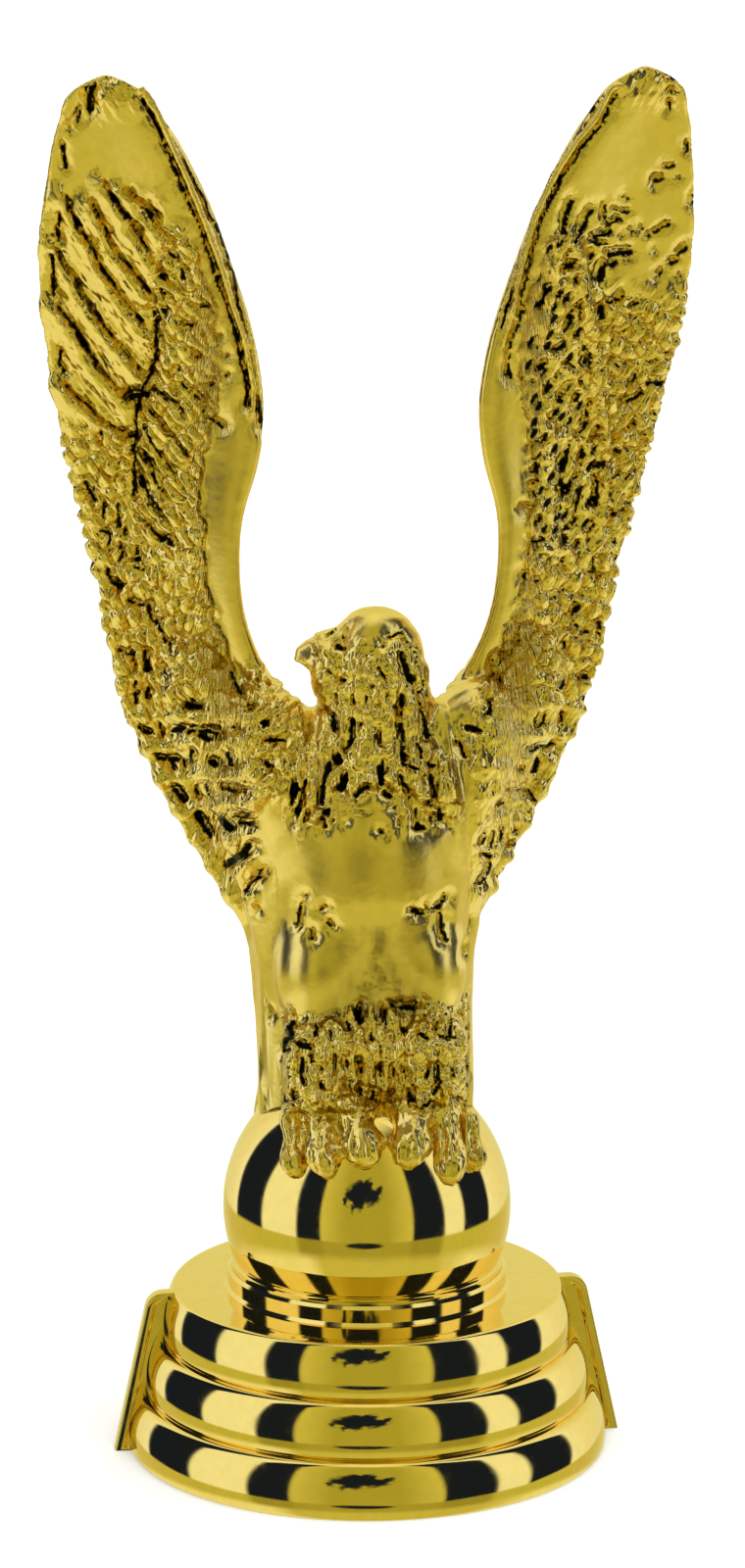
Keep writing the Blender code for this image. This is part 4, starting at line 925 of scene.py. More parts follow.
def wing_texture(x, z, side):
    """Small feathers of the wing's front: relief in millimetres, painted shade of the gaps and how carved it
    is.
    """
    rib = smooth_curve(RIB, z)
    band = smooth_curve(BAND, z) + 0.6 * streaks(x, z, 20.0, 0.9, 1.7, 33.0)
    past_band = smooth_step(0.0, 0.8, x - band)
    past_rib = smooth_step(-0.4, 0.6, x - rib)
    inside = past_band * (1 - past_rib) * smooth_step(55.0, 60.0, z) * (1 - smooth_step(93.0, 97.0, z))
    outside = past_rib * smooth_step(55.0, 60.0, z)
    outside *= 1 - smooth_step(72.0, 76.0, z) if side < 0 else 1 - smooth_step(84.0, 90.0, z)
    lower = past_band * (1 - smooth_step(56.0, 60.0, z)) * smooth_step(38.0, 43.0, z)
    rows = smooth_step(11.0, 13.0, x) * (1 - smooth_step(39.5, 42.0, z)) * smooth_step(16.0, 19.0, z)
    quills = np.zeros_like(z)
    if side < 0:
        quills = past_rib * smooth_step(72.0, 76.0, z) * (1 - smooth_step(97.0, 101.0, z))
    spine = smooth_step(0.9, 0.2, np.abs(x - rib)) * smooth_step(56.0, 60.0, z)
    spine *= 1 - smooth_step(91.0, 95.0, z)
    shelf = 0.5 + 0.5 * np.cos((z - 37.0 + 0.05 * (x - 16.0)) * 2 * math.pi / 3.55)
    mantle = (1 - smooth_step(11.5, 14.0, x)) * smooth_step(29.0, 32.0, z) * (1 - smooth_step(44.0, 47.0, z))
    if side < 0:
        inner = scales(x, z, 38.0, 1.2, 2.8, 2.0)
        inner_gap_shade = 0.5 * smooth_step(0.25, 0.0, inner)
    else:
        inner = pits(x, z, 32.0, 1.35, 3.0, 4.0)
        inner_gap_shade = smooth_step(0.45, 0.0, inner)
    outer = scales(x, z, 30.0, 1.5, 2.2, 7.0 + side)
    short = scales(x, z, 14.0, 1.5, 2.4, 11.0 + side)
    relief = 0.55 * inside * inner + 0.6 * outside * outer + 0.6 * lower * short
    relief += 0.55 * rows * (0.35 + 0.65 * shelf)
    relief += 0.10 * quills * (1 + streaks(x, z, 31.0, 0.75, 4.0, 9.0))
    if side < 0:
        relief += 0.55 * mantle * scales(x, z, -40.0, 1.3, 2.8, 13.0)
        relief += blades(x, z, LONG_FEATHERS, LONG_BLADE) + blades(x, z, SLIM_FEATHERS, SLIM_BLADE)
        step, _ = marked(x, z, LONG_FEATHERS + SLIM_FEATHERS)
        relief -= 0.45 * step
        gap_shade = 0.8 * step
    else:
        relief += 0.9 * spine
        gap_shade = np.zeros_like(x)
    # Painted shade in the gaps between the small feathers and along the steps of the long ones
    gap_shade += 0.9 * inside * inner_gap_shade + 0.45 * outside * smooth_step(0.25, 0.0, outer)
    gap_shade += 0.45 * lower * smooth_step(0.25, 0.0, short)
    gap_shade *= 1 - 0.8 * spine
    carved = inside + outside + lower + rows + 0.6 * quills
    if side < 0:
        carved += mantle
    carved = np.clip(carved, 0, 1)
    tip = smooth_step(97.0, 100.0, z) * smooth_step(106.5, 109.0, z)
    return relief, gap_shade, np.maximum(carved, 0.6 * tip)


def body_texture(x, z):
    """Small feathers of the body's front: relief in millimetres, painted shade of the gaps and how carved it
    is.
    """
    wide = np.abs(x)
    neck = np.interp(z, (34.0, 40.0, 46.0), (8.5, 6.2, 6.6))
    mane = smooth_step(35.5, 37.0, z) * (1 - smooth_step(46.0, 50.0, z))
    mane *= 1 - smooth_step(-1.2, 0.6, wide - neck)
    ragged = 1.5 * streaks(x, z, 0.0, 1.1, 3.0, 31.0)
    fringe = z - 32.8 + 0.035 * x**2 + ragged
    breast = smooth_step(-0.9, 0.9, fringe) * (1 - smooth_step(35.5, 37.0, z))
    breast *= 1 - smooth_step(6.8, 10.4, wide + ragged)
    shoulder = smooth_step(31.0, 34.0, z) * smooth_step(6.5, 8.5, -x) * (1 - smooth_step(40.0, 44.0, z))
    arch = smooth_step(-1.0, 4.0, 18.2 - 1.1 * wide - z) * smooth_step(6.5, 9.0, z)
    arch *= 1 - smooth_step(6.5, 8.5, wide)
    seam = (1 - smooth_step(0.25, 1.2, wide)) * smooth_step(15.0, 17.5, z) * (1 - smooth_step(18.5, 20.4, z))
    chest = smooth_step(-1.6, 1.6, z - 20.6 + 0.02 * wide**2) * (1 - smooth_step(8.0, 12.0, wide))
    legs = smooth_step(-2.6, -1.6, z) * (1 - smooth_step(-1.0, 0.6, z - 8.9 + ragged))
    legs *= 1 - smooth_step(10.0, 11.2, wide)
    hair = scales(x, z, 4.0, 1.1, 3.0, 21.0)
    down = scales(x, z, 6.0, 1.6, 3.2, 23.0)
    lap = scales(x, z, 35.0, 1.4, 2.4, 29.0)
    tuft = scales(x, z, 0.0, 1.3, 3.0, 27.0)
    tier = 0.45 + 0.55 * smooth_step(0.0, 0.25, np.mod((z + 2.4) / 3.7, 1.0))
    toes = smooth_step(-1.6, -2.6, z)
    face = smooth_step(43.0, 45.0, z) * (1 - smooth_step(49.0, 50.5, z))
    thatch = streaks(x, z, 0.0, 0.55, 1.8, 25.0)
    relief = 0.35 * mane * hair + 0.4 * breast * down + 0.45 * shoulder * (1 - breast) * lap
    relief += 0.4 * legs * tuft * tier
    ridges = streaks(x, z, 0.0, 0.6, 5.0, 35.0)
    relief += arch * (0.12 * thatch - 0.6) - 0.3 * seam + 0.4 * chest + 0.16 * toes * ridges
    # Painted shade in the gaps between the small feathers of mane, breast and legs, and along the crease
    gap_shade = 0.4 * mane * smooth_step(0.25, 0.0, hair) + 0.4 * breast * smooth_step(0.25, 0.0, down)
    # Painted shade over the belly under the chest, darker in the arch between the thighs
    belly = smooth_step(7.0, 9.0, z) * (1 - smooth_step(18.0, 21.0, z))
    belly *= 1 - smooth_step(6.5, 9.5, wide)
    belly *= 1 - legs
    belly_shade = belly * (0.39 + (0.12 + 0.08 * thatch) * arch)
    gap_shade += 0.3 * legs * smooth_step(0.25, 0.0, tuft) + belly_shade + 0.15 * seam
    carved = np.clip(1.3 * mane + 1.5 * breast + 1.5 * shoulder + 0.4 * arch + 1.5 * legs, 0, 1.5)
    return relief, gap_shade, np.maximum(carved, np.maximum(0.45 * toes, 0.6 * face))


def seen_place(points):
    """Sideways place and height of each point as it shows to the eye that the marks are placed by."""
    x, y = points[:, 0], points[:, 1]
    z = points[:, 2] - PERCH_Z
    lead = wing_edge_depth(z)[0] + WING_FRONT
    body = np.where(z > BELLY_TOP, BODY_FRONT, BELLY_FRONT)
    on_wing = smooth_step(0.0, 1.0, np.abs(x) - np.interp(z, BODY_EDGE_Z, BODY_EDGE_X))
    front = lead * on_wing + body * (1 - on_wing)
    return x - SIGHT_SIDE * (y - front), z + SIGHT_RISE * (y - front), z, on_wing


def relief_of(points, normals):
    """How far each point moves along its normal, its painted shade in the gaps and how carved the skin is."""
    x, z, level, on_wing = seen_place(points)
    wide = np.abs(x)
    facing = smooth_step(0.25, -0.1, normals[:, 1])
    rise = np.zeros(len(x))
    gap_shade = np.zeros(len(x))
    carved = np.zeros(len(x))
    for side, marks in ((-1, RIGHT_WING_MARKS), (1, LEFT_WING_MARKS)):
        here = (x * side > 0) & (on_wing > 0)
        u, v = wide[here], z[here]
        depth, surround = marked(u, v, marks)
        relief, gaps, skin = wing_texture(u, v, side)
        ridge = rim_ridge(u, v, marks[0][1:])
        depth *= 1 - ridge
        amount = on_wing[here]
        relief += RIM_RIDGE_HEIGHT * ridge
        rise[here] += amount * (relief - MARK_DEPTH * depth - MARK_SHOULDER * surround)
        gap_shade[here] += amount * np.maximum(depth, gaps)
        carved[here] += amount * np.maximum(skin, SURROUND_CARVED * surround)
    here = on_wing < 1
    u, v = x[here], z[here]
    depth, surround = marked(u, v, BODY_MARKS)
    shallow = 1 - 0.5 * smooth_step(-2.4, -3.2, v)
    depth, surround = depth * shallow, surround * shallow
    relief, gaps, skin = body_texture(u, v)
    amount = 1 - on_wing[here]
    rise[here] += amount * (relief - MARK_DEPTH * depth - MARK_SHOULDER * surround)
    gap_shade[here] += amount * np.maximum(depth, gaps)
    carved[here] += amount * np.maximum(skin, SURROUND_CARVED * surround)
    back = BACK_RELIEF * back_relief(np.abs(points[:, 0]), level)
    behind = 1 - facing
    # The painted shade in the grooves and gaps is kept only where the skin faces the front
    return rise * facing + back * behind, gap_shade * facing, carved * facing + BACK_CARVED * behind


def carve(mesh):
    """Raises the feathers and cuts the gaps between them."""
    points, normals = mesh_points(mesh), mesh_points(mesh, "normal")
    rise = relief_of(points, normals)[0]
    points += normals * rise[:, None]
    mesh.vertices.foreach_set("co", points.ravel())
    mesh.update()


def note_skin(mesh):
    """Keeps for the plating each point's painted shade in the gaps, how carved it is and how its feathers lie.
    """
    points = mesh_points(mesh)
    _, gap_shade, carved = relief_of(points, mesh_points(mesh, "normal"))
    wide, z = np.abs(points[:, 0]), points[:, 2] - PERCH_Z
    turn = np.radians(32.0 * smooth_step(12.0, 20.0, wide))
    lie = np.zeros((len(points), 3), np.float32)
    lie[:, 0] = (points[:, 0] * np.cos(turn) - np.sign(points[:, 0]) * z * np.sin(turn)) / BARB_WIDTH
    lie[:, 1] = (wide * np.sin(turn) + z * np.cos(turn)) / BARB_LENGTH
    mesh.attributes.new("gap_shade", "FLOAT", "POINT").data.foreach_set("value", gap_shade.astype(np.float32))
    mesh.attributes.new("carved", "FLOAT", "POINT").data.foreach_set("value", carved.astype(np.float32))
    mesh.attributes.new("lie", "FLOAT_VECTOR", "POINT").data.foreach_set("vector", lie.ravel())


def thinned(mesh, triangles):
    """The same skin with about that many triangles, kept where the form turns."""
    obj = new_object("thinned", mesh)
    split = obj.modifiers.new("Triangles", "TRIANGULATE")
    split.quad_method = "SHORTEST_DIAGONAL"
    collapse = obj.modifiers.new("Thin", "DECIMATE")
    collapse.ratio = min(1.0, triangles / (2 * len(mesh.polygons)))
    return evaluated_mesh(obj)


# Modelling with operators


def deselect_all():
    if bpy.context.mode != "OBJECT":
        bpy.ops.object.mode_set(mode="OBJECT")
    bpy.ops.object.select_all(action="DESELECT")


def named(obj, name):
    obj.name = name
    obj.data.name = name
    return obj


def make_active(obj):
    deselect_all()
    obj.select_set(True)
    bpy.context.view_layer.objects.active = obj


def settle(obj):
    """Puts the object's place in its mesh, in metres."""
    make_active(obj)
    bpy.ops.object.transform_apply(location=True, rotation=True, scale=True)
    obj.data.transform(Matrix.Scale(MM, 4))
    return obj


def select_by(obj, kind, test):
    """Selects the faces, edges or points of the mesh in edit mode that pass the test."""
    bpy.ops.mesh.select_mode(type=kind)
    bm = bmesh.from_edit_mesh(obj.data)
    for item in {"FACE": bm.faces, "EDGE": bm.edges, "VERT": bm.verts}[kind]:
        item.select_set(bool(test(item)))
    bmesh.update_edit_mesh(obj.data)


def spun(name, profile, sides):
    """A solid of revolution about Z from a half section that starts and ends on the axis."""
    mesh = bpy.data.meshes.new(name)
    points = [(radius, 0.0, z) for radius, z in profile]
    mesh.from_pydata(points, [(k, k + 1) for k in range(len(points) - 1)], [])
    obj = new_object(name, mesh)
    make_active(obj)
    bpy.ops.object.mode_set(mode="EDIT")
    bpy.ops.mesh.select_all(action="SELECT")
    bpy.ops.mesh.spin(steps=sides, angle=2 * math.pi, center=(0, 0, 0), axis=(0, 0, 1))
    bpy.ops.mesh.select_all(action="SELECT")
    bpy.ops.mesh.remove_doubles(threshold=1e-4)
    bpy.ops.mesh.normals_make_consistent(inside=False)
    bpy.ops.object.mode_set(mode="OBJECT")
    return obj


def band_profile():
    """Half section of the bands from the deck's edge down to the foot, as (radius, height)."""
    profile = [(DECK_RADIUS, DECK_Z)]
    for band in range(BAND_COUNT):
        widest = BAND_RADIUS - (BAND_COUNT - 1 - band) * BAND_STEP
        top = DECK_Z - band * BAND_HEIGHT
        start = profile[-1][0]
        shoulder = widest - start - BAND_FLANK
        drop = BAND_TURN - shoulder
        flank = ((widest - start) ** 2 + drop**2 - shoulder**2) / (2 * BAND_FLANK)
        tilt = math.asin(drop / (flank - shoulder))
        for k in range(1, BAND_ARC_STEPS + 1):
            turn = math.pi / 2 + (tilt - math.pi / 2) * k / BAND_ARC_STEPS
            profile.append((start + shoulder * math.cos(turn), top - shoulder * (1 - math.sin(turn))))
        for k in range(1, BAND_ARC_STEPS + 1):
            turn = tilt * (1 - k / BAND_ARC_STEPS)
            profile.append((widest - flank * (1 - math.cos(turn)), top - BAND_TURN + flank * math.sin(turn)))
        for k in range(1, BAND_ARC_STEPS + 1):
            turn = 0.5 * math.pi * k / BAND_ARC_STEPS
            drop_to_foot = (BAND_HEIGHT - BAND_TURN) * math.sin(turn)
            profile.append((widest - BAND_TUCK * (1 - math.cos(turn)), top - BAND_TURN - drop_to_foot))
    return profile


# Materials


def add_node(tree, kind, settings=None, **links):
    """A node with its settings; each link names a socket and gives the socket or the value that it takes."""
    node = tree.nodes.new(kind)
    for name, value in (settings or {}).items():
        setattr(node, name, value)
    for name, value in links.items():
        numbered = name[0] == "i" and name[1:].isdigit()
        socket = node.inputs[int(name[1:]) if numbered else name.replace("_", " ")]
        if isinstance(value, bpy.types.NodeSocket):
            tree.links.new(value, socket)
        else:
            socket.default_value = value
    return node


def new_material(name):
    material = bpy.data.materials.new(name)
    material.use_nodes = True
    return material, material.node_tree, material.node_tree.nodes["Principled BSDF"]


def mirror_gold(colour, roughness):
    """Vacuum metallised gold over smooth moulded ABS: a mirror with the faint waviness of moulding."""
    material, tree, shader = new_material("metallised_gold_mirror")
    place = add_node(tree, "ShaderNodeTexCoord").outputs["Object"]
    # Long soft waves, as of a thin plastic wall, that make the edges of reflections wander
    waves = add_node(
        tree, "ShaderNodeTexNoise", Vector=place, Scale=1 / (WAVE_SPACING * MM), Detail=1.0, Roughness=0.5
    )
    # Haze where the lacquer over the plating is handled
    haze = add_node(
        tree, "ShaderNodeTexNoise", Vector=place, Scale=1 / (HAZE_SPACING * MM), Detail=3.0, Roughness=0.6
    )
    dull = add_node(
        tree, "ShaderNodeMapRange", Value=haze.outputs["Fac"], i1=0.45, i2=0.75, i3=roughness,
        i4=roughness * 2.2
    )
    bump = add_node(tree, "ShaderNodeBump", Strength=0.06, Distance=0.6 * MM, Height=waves.outputs["Fac"])
    tone = add_node(tree, "ShaderNodeMapRange", Value=haze.outputs["Fac"], i1=0.3, i2=0.7, i3=0.0, i4=1.0)
    skin = add_node(
        tree, "ShaderNodeMix", {"data_type": "RGBA"}, i0=tone.outputs[0], i6=colour,
        i7=[c * 0.94 for c in colour[:3]] + [1.0]
    )
    tree.links.new(skin.outputs[2], shader.inputs["Base Color"])
    tree.links.new(dull.outputs[0], shader.inputs["Roughness"])
    tree.links.new(bump.outputs[0], shader.inputs["Normal"])
    shader.inputs["Metallic"].default_value = 1.0
    return material


def feather_gold(colour, shade, roughness):
    """Vacuum metallised gold over carved ABS: bright on the feathers, with painted shade that darkens the gaps
    between them.
    """
    material, tree, shader = new_material("metallised_gold_carved")
    place = add_node(tree, "ShaderNodeTexCoord").outputs["Object"]
    gap_shade = add_node(tree, "ShaderNodeAttribute", {"attribute_name": "gap_shade"}).outputs["Fac"]
    carved = add_node(tree, "ShaderNodeAttribute", {"attribute_name": "carved"}).outputs["Fac"]
    lie = add_node(tree, "ShaderNodeAttribute", {"attribute_name": "lie"}).outputs["Vector"]
    # Tool marks of the carved master, which break reflections into sparkle
    grain = add_node(
        tree, "ShaderNodeTexNoise", Vector=place, Scale=1 / (TOOL_SPACING * MM), Detail=1.0, Roughness=0.45
    )
    # Barbs along each feather
    barbs = add_node(tree, "ShaderNodeTexNoise", Vector=lie, Scale=0.75, Detail=1.0, Roughness=0.5)
    rough = add_node(
        tree, "ShaderNodeMix", {"data_type": "FLOAT"}, i0=0.4, i2=grain.outputs["Fac"],
        i3=barbs.outputs["Fac"]
    )
    relief = add_node(tree, "ShaderNodeMath", {"operation": "MULTIPLY"}, i0=rough.outputs[0], i1=carved)
    bump = add_node(tree, "ShaderNodeBump", Strength=1.0, Distance=1.1 * MM, Height=relief.outputs[0])
    # The calm skin between the carving keeps a faint orange peel
    peel = add_node(
        tree, "ShaderNodeTexNoise", Vector=place, Scale=1 / (PEEL_SPACING * MM), Detail=2.0, Roughness=0.5
    )
    skin_bump = add_node(
        tree, "ShaderNodeBump", Strength=1.0, Distance=0.05 * MM, Height=peel.outputs["Fac"],
        Normal=bump.outputs[0]
    )
    # Painted shade: deep in the gaps between feathers the plating's colour goes over to the shade colour
    deep = add_node(
        tree, "ShaderNodeMapRange", {"interpolation_type": "SMOOTHSTEP"}, Value=gap_shade, i1=0.30, i2=0.80,
        i3=0.0, i4=1.0
    )
    tone = add_node(tree, "ShaderNodeMapRange", Value=grain.outputs["Fac"], i1=0.35, i2=0.65, i3=0.0, i4=0.2)
    skin = add_node(
        tree, "ShaderNodeMix", {"data_type": "RGBA"}, i0=tone.outputs[0], i6=colour,
        i7=[c * 0.7 for c in colour[:3]] + [1.0]
    )
    gap_shaded = add_node(
        tree, "ShaderNodeMix", {"data_type": "RGBA"}, i0=deep.outputs[0], i6=skin.outputs[2], i7=shade
    )
    dull = add_node(
        tree, "ShaderNodeMapRange", Value=carved, i1=0.0, i2=0.6, i3=roughness * 1.25, i4=roughness
    )
    tree.links.new(gap_shaded.outputs[2], shader.inputs["Base Color"])
    tree.links.new(dull.outputs[0], shader.inputs["Roughness"])
    tree.links.new(skin_bump.outputs[0], shader.inputs["Normal"])
    shader.inputs["Metallic"].default_value = 1.0
    return material


def finished(obj, material, node, smooth_angle):
    """Gives a piece in metres its finish and smooth shading, hangs it under the root body and hides the CAD
    part that it replaces.
    """
    obj.data.materials.clear()
    obj.data.materials.append(material)
    make_active(obj)
    bpy.ops.object.shade_smooth_by_angle(angle=math.radians(smooth_angle))
    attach(obj, "root")
    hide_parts(node)
    return obj


# Settings


class TrophyPlinthSettings(bpy.types.PropertyGroup):
    collar_height: FloatProperty(
        name="Collar height", description="Height of the collar that the ball sits on",
        default=(COLLAR_Z - DECK_Z) * MM,
        min=0.0005, unit="LENGTH", subtype="DISTANCE",
    )
    fin_thickness: FloatProperty(
        name="Fin thickness", description="Thickness of the side fins", default=FIN_THICKNESS * MM,
        min=0.0005,
        unit="LENGTH", subtype="DISTANCE",
    )
    sides: IntProperty(
        name="Sides", description="Facets round the bands", default=PLINTH_SIDES, min=24, max=512
    )


class TrophyFigureSettings(bpy.types.PropertyGroup):
    ball_radius: FloatProperty(
        name="Ball radius", description="Radius of the ball under the eagle", default=BALL_RADIUS * MM,
        min=0.005,
        unit="LENGTH", subtype="DISTANCE",
    )


class TrophyFinishSettings(bpy.types.PropertyGroup):
    plating: FloatVectorProperty(
        name="Plating", description="Colour of the gold plating", default=linear(PLATING_HEX), size=4,
        min=0.0, max=1.0,
        subtype="COLOR",
    )
    # Colour of the painted shade deep in the gaps between feathers
    shade: FloatVectorProperty(
        name="Gaps", description="Colour deep in the gaps between feathers", default=linear(SHADE_HEX),
        size=4, min=0.0,
        max=1.0, subtype="COLOR",
    )
    mirror_roughness: FloatProperty(
        name="Mirror roughness", description="Roughness of the ball and the plinth", default=0.045, min=0.0,
        max=1.0,
        subtype="FACTOR",
    )
    feather_roughness: FloatProperty(
        name="Feather roughness", description="Roughness of the eagle", default=0.2, min=0.0, max=1.0,
        subtype="FACTOR",
    )


class TrophyStageSettings(bpy.types.PropertyGroup):
    floor: FloatVectorProperty(
        name="Floor", description="Colour of the floor", default=linear(FLOOR_HEX), size=4, min=0.0, max=1.0,
        subtype="COLOR",
    )
    key_power: FloatProperty(
        name="Key light", description="Strength of the soft light from above", default=1.6, min=0.0,
    )


# Operators


class TROPHY_OT_plinth(bpy.types.Operator):
    """Models the banded plinth with its collar and side fins"""

    bl_idname = "trophy.plinth"
    bl_label = "Plinth"

    def execute(self, context):
        settings = context.scene.trophy_plinth
        finish = context.scene.trophy_finish
        collar_z = DECK_Z + settings.collar_height / MM
        profile = [
            (0.0, collar_z), (COLLAR_RADIUS - DECK_EDGE, collar_z), (COLLAR_RADIUS, collar_z - DECK_EDGE)
        ]
        profile += [(COLLAR_RADIUS, DECK_Z + DECK_EDGE), (COLLAR_RADIUS + DECK_EDGE, DECK_Z)]
        profile += band_profile() + [(0.0, 0.0)]
        body = spun("plinth_bands", profile, settings.sides)
        gold = mirror_gold(tuple(finish.plating), finish.mirror_roughness)
        finished(settle(body), gold, "plinth", PLINTH_SMOOTH)
        for side, name in ((-1, "fin_right"), (1, "fin_left")):
            fin = self.fin(side, name, settings.fin_thickness / MM)
            finished(settle(fin), gold, "plinth", PLINTH_SMOOTH)
        return {"FINISHED"}

    def fin(self, side, name, thickness):
        """One upright fin with a raised rim round a sunk panel, rooted inside the bands."""
        top = DECK_RADIUS + BAND_BULGE + FIN_REACH_TOP
        inner = DECK_RADIUS - 2.0
        height = DECK_Z - FIN_SINK
        deselect_all()
        bpy.ops.mesh.primitive_cube_add(size=1.0, location=(0, 0, 0))
        obj = named(bpy.context.object, name)
        for vertex in obj.data.vertices:
            upper = vertex.co.z > 0
            outer = vertex.co.x > 0
            reach = (top if upper else FIN_FOOT) if outer else inner
            vertex.co = (reach, vertex.co.y * thickness, height if upper else 0.0)
        bpy.ops.object.mode_set(mode="EDIT")
        select_by(
            obj, "EDGE", lambda edge: all(v.co.z > height - 0.1 and v.co.x > top - 0.1 for v in edge.verts)
        )
        bpy.ops.mesh.bevel(offset=FIN_CORNER, segments=8, affect="EDGES")
        select_by(obj, "FACE", lambda face: abs(face.normal.y) > 0.9)
        bpy.ops.mesh.inset(thickness=FIN_RIM, depth=0.0, use_individual=True)
        panel = bmesh.from_edit_mesh(obj.data)
        for vertex in [v for v in panel.verts if v.select]:
            if vertex.co.z < 1.5 * FIN_RIM:
                slope = (FIN_FOOT - top) / height
                vertex.co.x += slope * (vertex.co.z - FIN_EDGE) if vertex.co.x > inner + 2 * FIN_RIM else 0.0
                vertex.co.z = FIN_EDGE
            if vertex.co.x < inner + 2 * FIN_RIM:
                vertex.co.x = inner + FIN_EDGE
        bmesh.update_edit_mesh(obj.data)
        bpy.ops.mesh.inset(thickness=0.2, depth=-FIN_PANEL_DEPTH, use_individual=True)
        select_by(obj, "EDGE", lambda edge: self.is_rim(edge, thickness))
        bpy.ops.mesh.bevel(offset=FIN_EDGE, segments=3, affect="EDGES")
        bpy.ops.object.mode_set(mode="OBJECT")
        if side < 0:
            obj.data.transform(Matrix.Rotation(math.pi, 4, "Z"))
        return obj

    @staticmethod
    def is_rim(edge, thickness):
        """Whether an edge lies on the fin's outer border, between a face and the narrow side."""
        if any(abs(abs(v.co.y) - 0.5 * thickness) > 1e-4 for v in edge.verts) or len(edge.link_faces) != 2:
            return False
        flat = [abs(face.normal.y) > 0.9 for face in edge.link_faces]
        return flat[0] != flat[1] and all(
            face.normal.z > -0.9 and face.normal.x > -0.9 for face in edge.link_faces
        )


class TROPHY_OT_ball(bpy.types.Operator):
    """Models the ball that the eagle grips, cut flat where it stands on the collar"""

    bl_idname = "trophy.ball"
    bl_label = "Ball"

    def execute(self, context):
        radius = context.scene.trophy_figure.ball_radius / MM
        finish = context.scene.trophy_finish
        deselect_all()
        bpy.ops.mesh.primitive_uv_sphere_add(
            segments=BALL_SEGMENTS, ring_count=BALL_RINGS, radius=radius, location=(0, 0, 0)
        )
        ball = named(bpy.context.object, "ball")
        bpy.ops.object.mode_set(mode="EDIT")
        bpy.ops.mesh.select_all(action="SELECT")
        bpy.ops.mesh.bisect(
            plane_co=(0, 0, BALL_FOOT_Z - BALL_Z), plane_no=(0, 0, -1), use_fill=True, clear_outer=True,
            clear_inner=False,
        )
        bpy.ops.object.mode_set(mode="OBJECT")
        ball.location = (0, 0, BALL_Z)
        rounding = ball.modifiers.new("Foot", "BEVEL")
        rounding.width = BALL_EDGE
        rounding.segments = 3
        rounding.angle_limit = math.radians(35)
        make_active(ball)
        bpy.ops.object.modifier_apply(modifier="Foot")
        gold = mirror_gold(tuple(finish.plating), finish.mirror_roughness)
        finished(settle(ball), gold, "eagle_on_ball", BALL_SMOOTH)
        seat = spun("ball_seat", self.seat_profile(radius), PLINTH_SIDES)
        finished(settle(seat), gold, "eagle_on_ball", BALL_SMOOTH)
        return {"FINISHED"}

    @staticmethod
    def seat_profile(radius):
        """Half section of the low round that leads from the ball down to the collar, as (radius, height)."""
        foot = math.sqrt(radius**2 - BALL_FOOT_DEPTH**2)
        reach = foot + SEAT_REACH
        profile = [(0.0, BALL_FOOT_Z + SEAT_RISE), (foot, BALL_FOOT_Z + SEAT_RISE)]
        for k in range(SEAT_ARC_STEPS + 1):
            turn = 0.5 * math.pi * k / SEAT_ARC_STEPS
            across = SEAT_REACH * (1 - math.cos(turn))
            profile.append((foot + across, BALL_FOOT_Z + SEAT_RISE * (1 - math.sin(turn))))
        profile += [(reach, COLLAR_Z + SEAT_CLEAR), (0.0, COLLAR_Z + SEAT_CLEAR)]
        return profile


class TROPHY_OT_eagle(bpy.types.Operator):
    """Sculpts the eagle: masses of clay fused to one skin, then feathers carved along its normals"""

    bl_idname = "trophy.eagle"
    bl_label = "Eagle"

    def execute(self, context):
        finish = context.scene.trophy_finish
        body = fused(body_clay(), BODY_CELL, BODY_PASSES)
        soft = fused(joined(body, soft_clay()), CLAY_CELL, SOFT_PASSES)
        whole = fused(joined(soft, crisp_clay()), CLAY_CELL, CRISP_PASSES)
        carve(whole)
        skin = thinned(whole, EAGLE_TRIANGLES)
        note_skin(skin)
        skin.transform(Matrix.Scale(MM, 4))
        eagle = named(new_object("eagle", skin), "eagle")
        gold = feather_gold(tuple(finish.plating), tuple(finish.shade), finish.feather_roughness)
        finished(eagle, gold, "eagle_on_ball", EAGLE_SMOOTH)
        return {"FINISHED"}


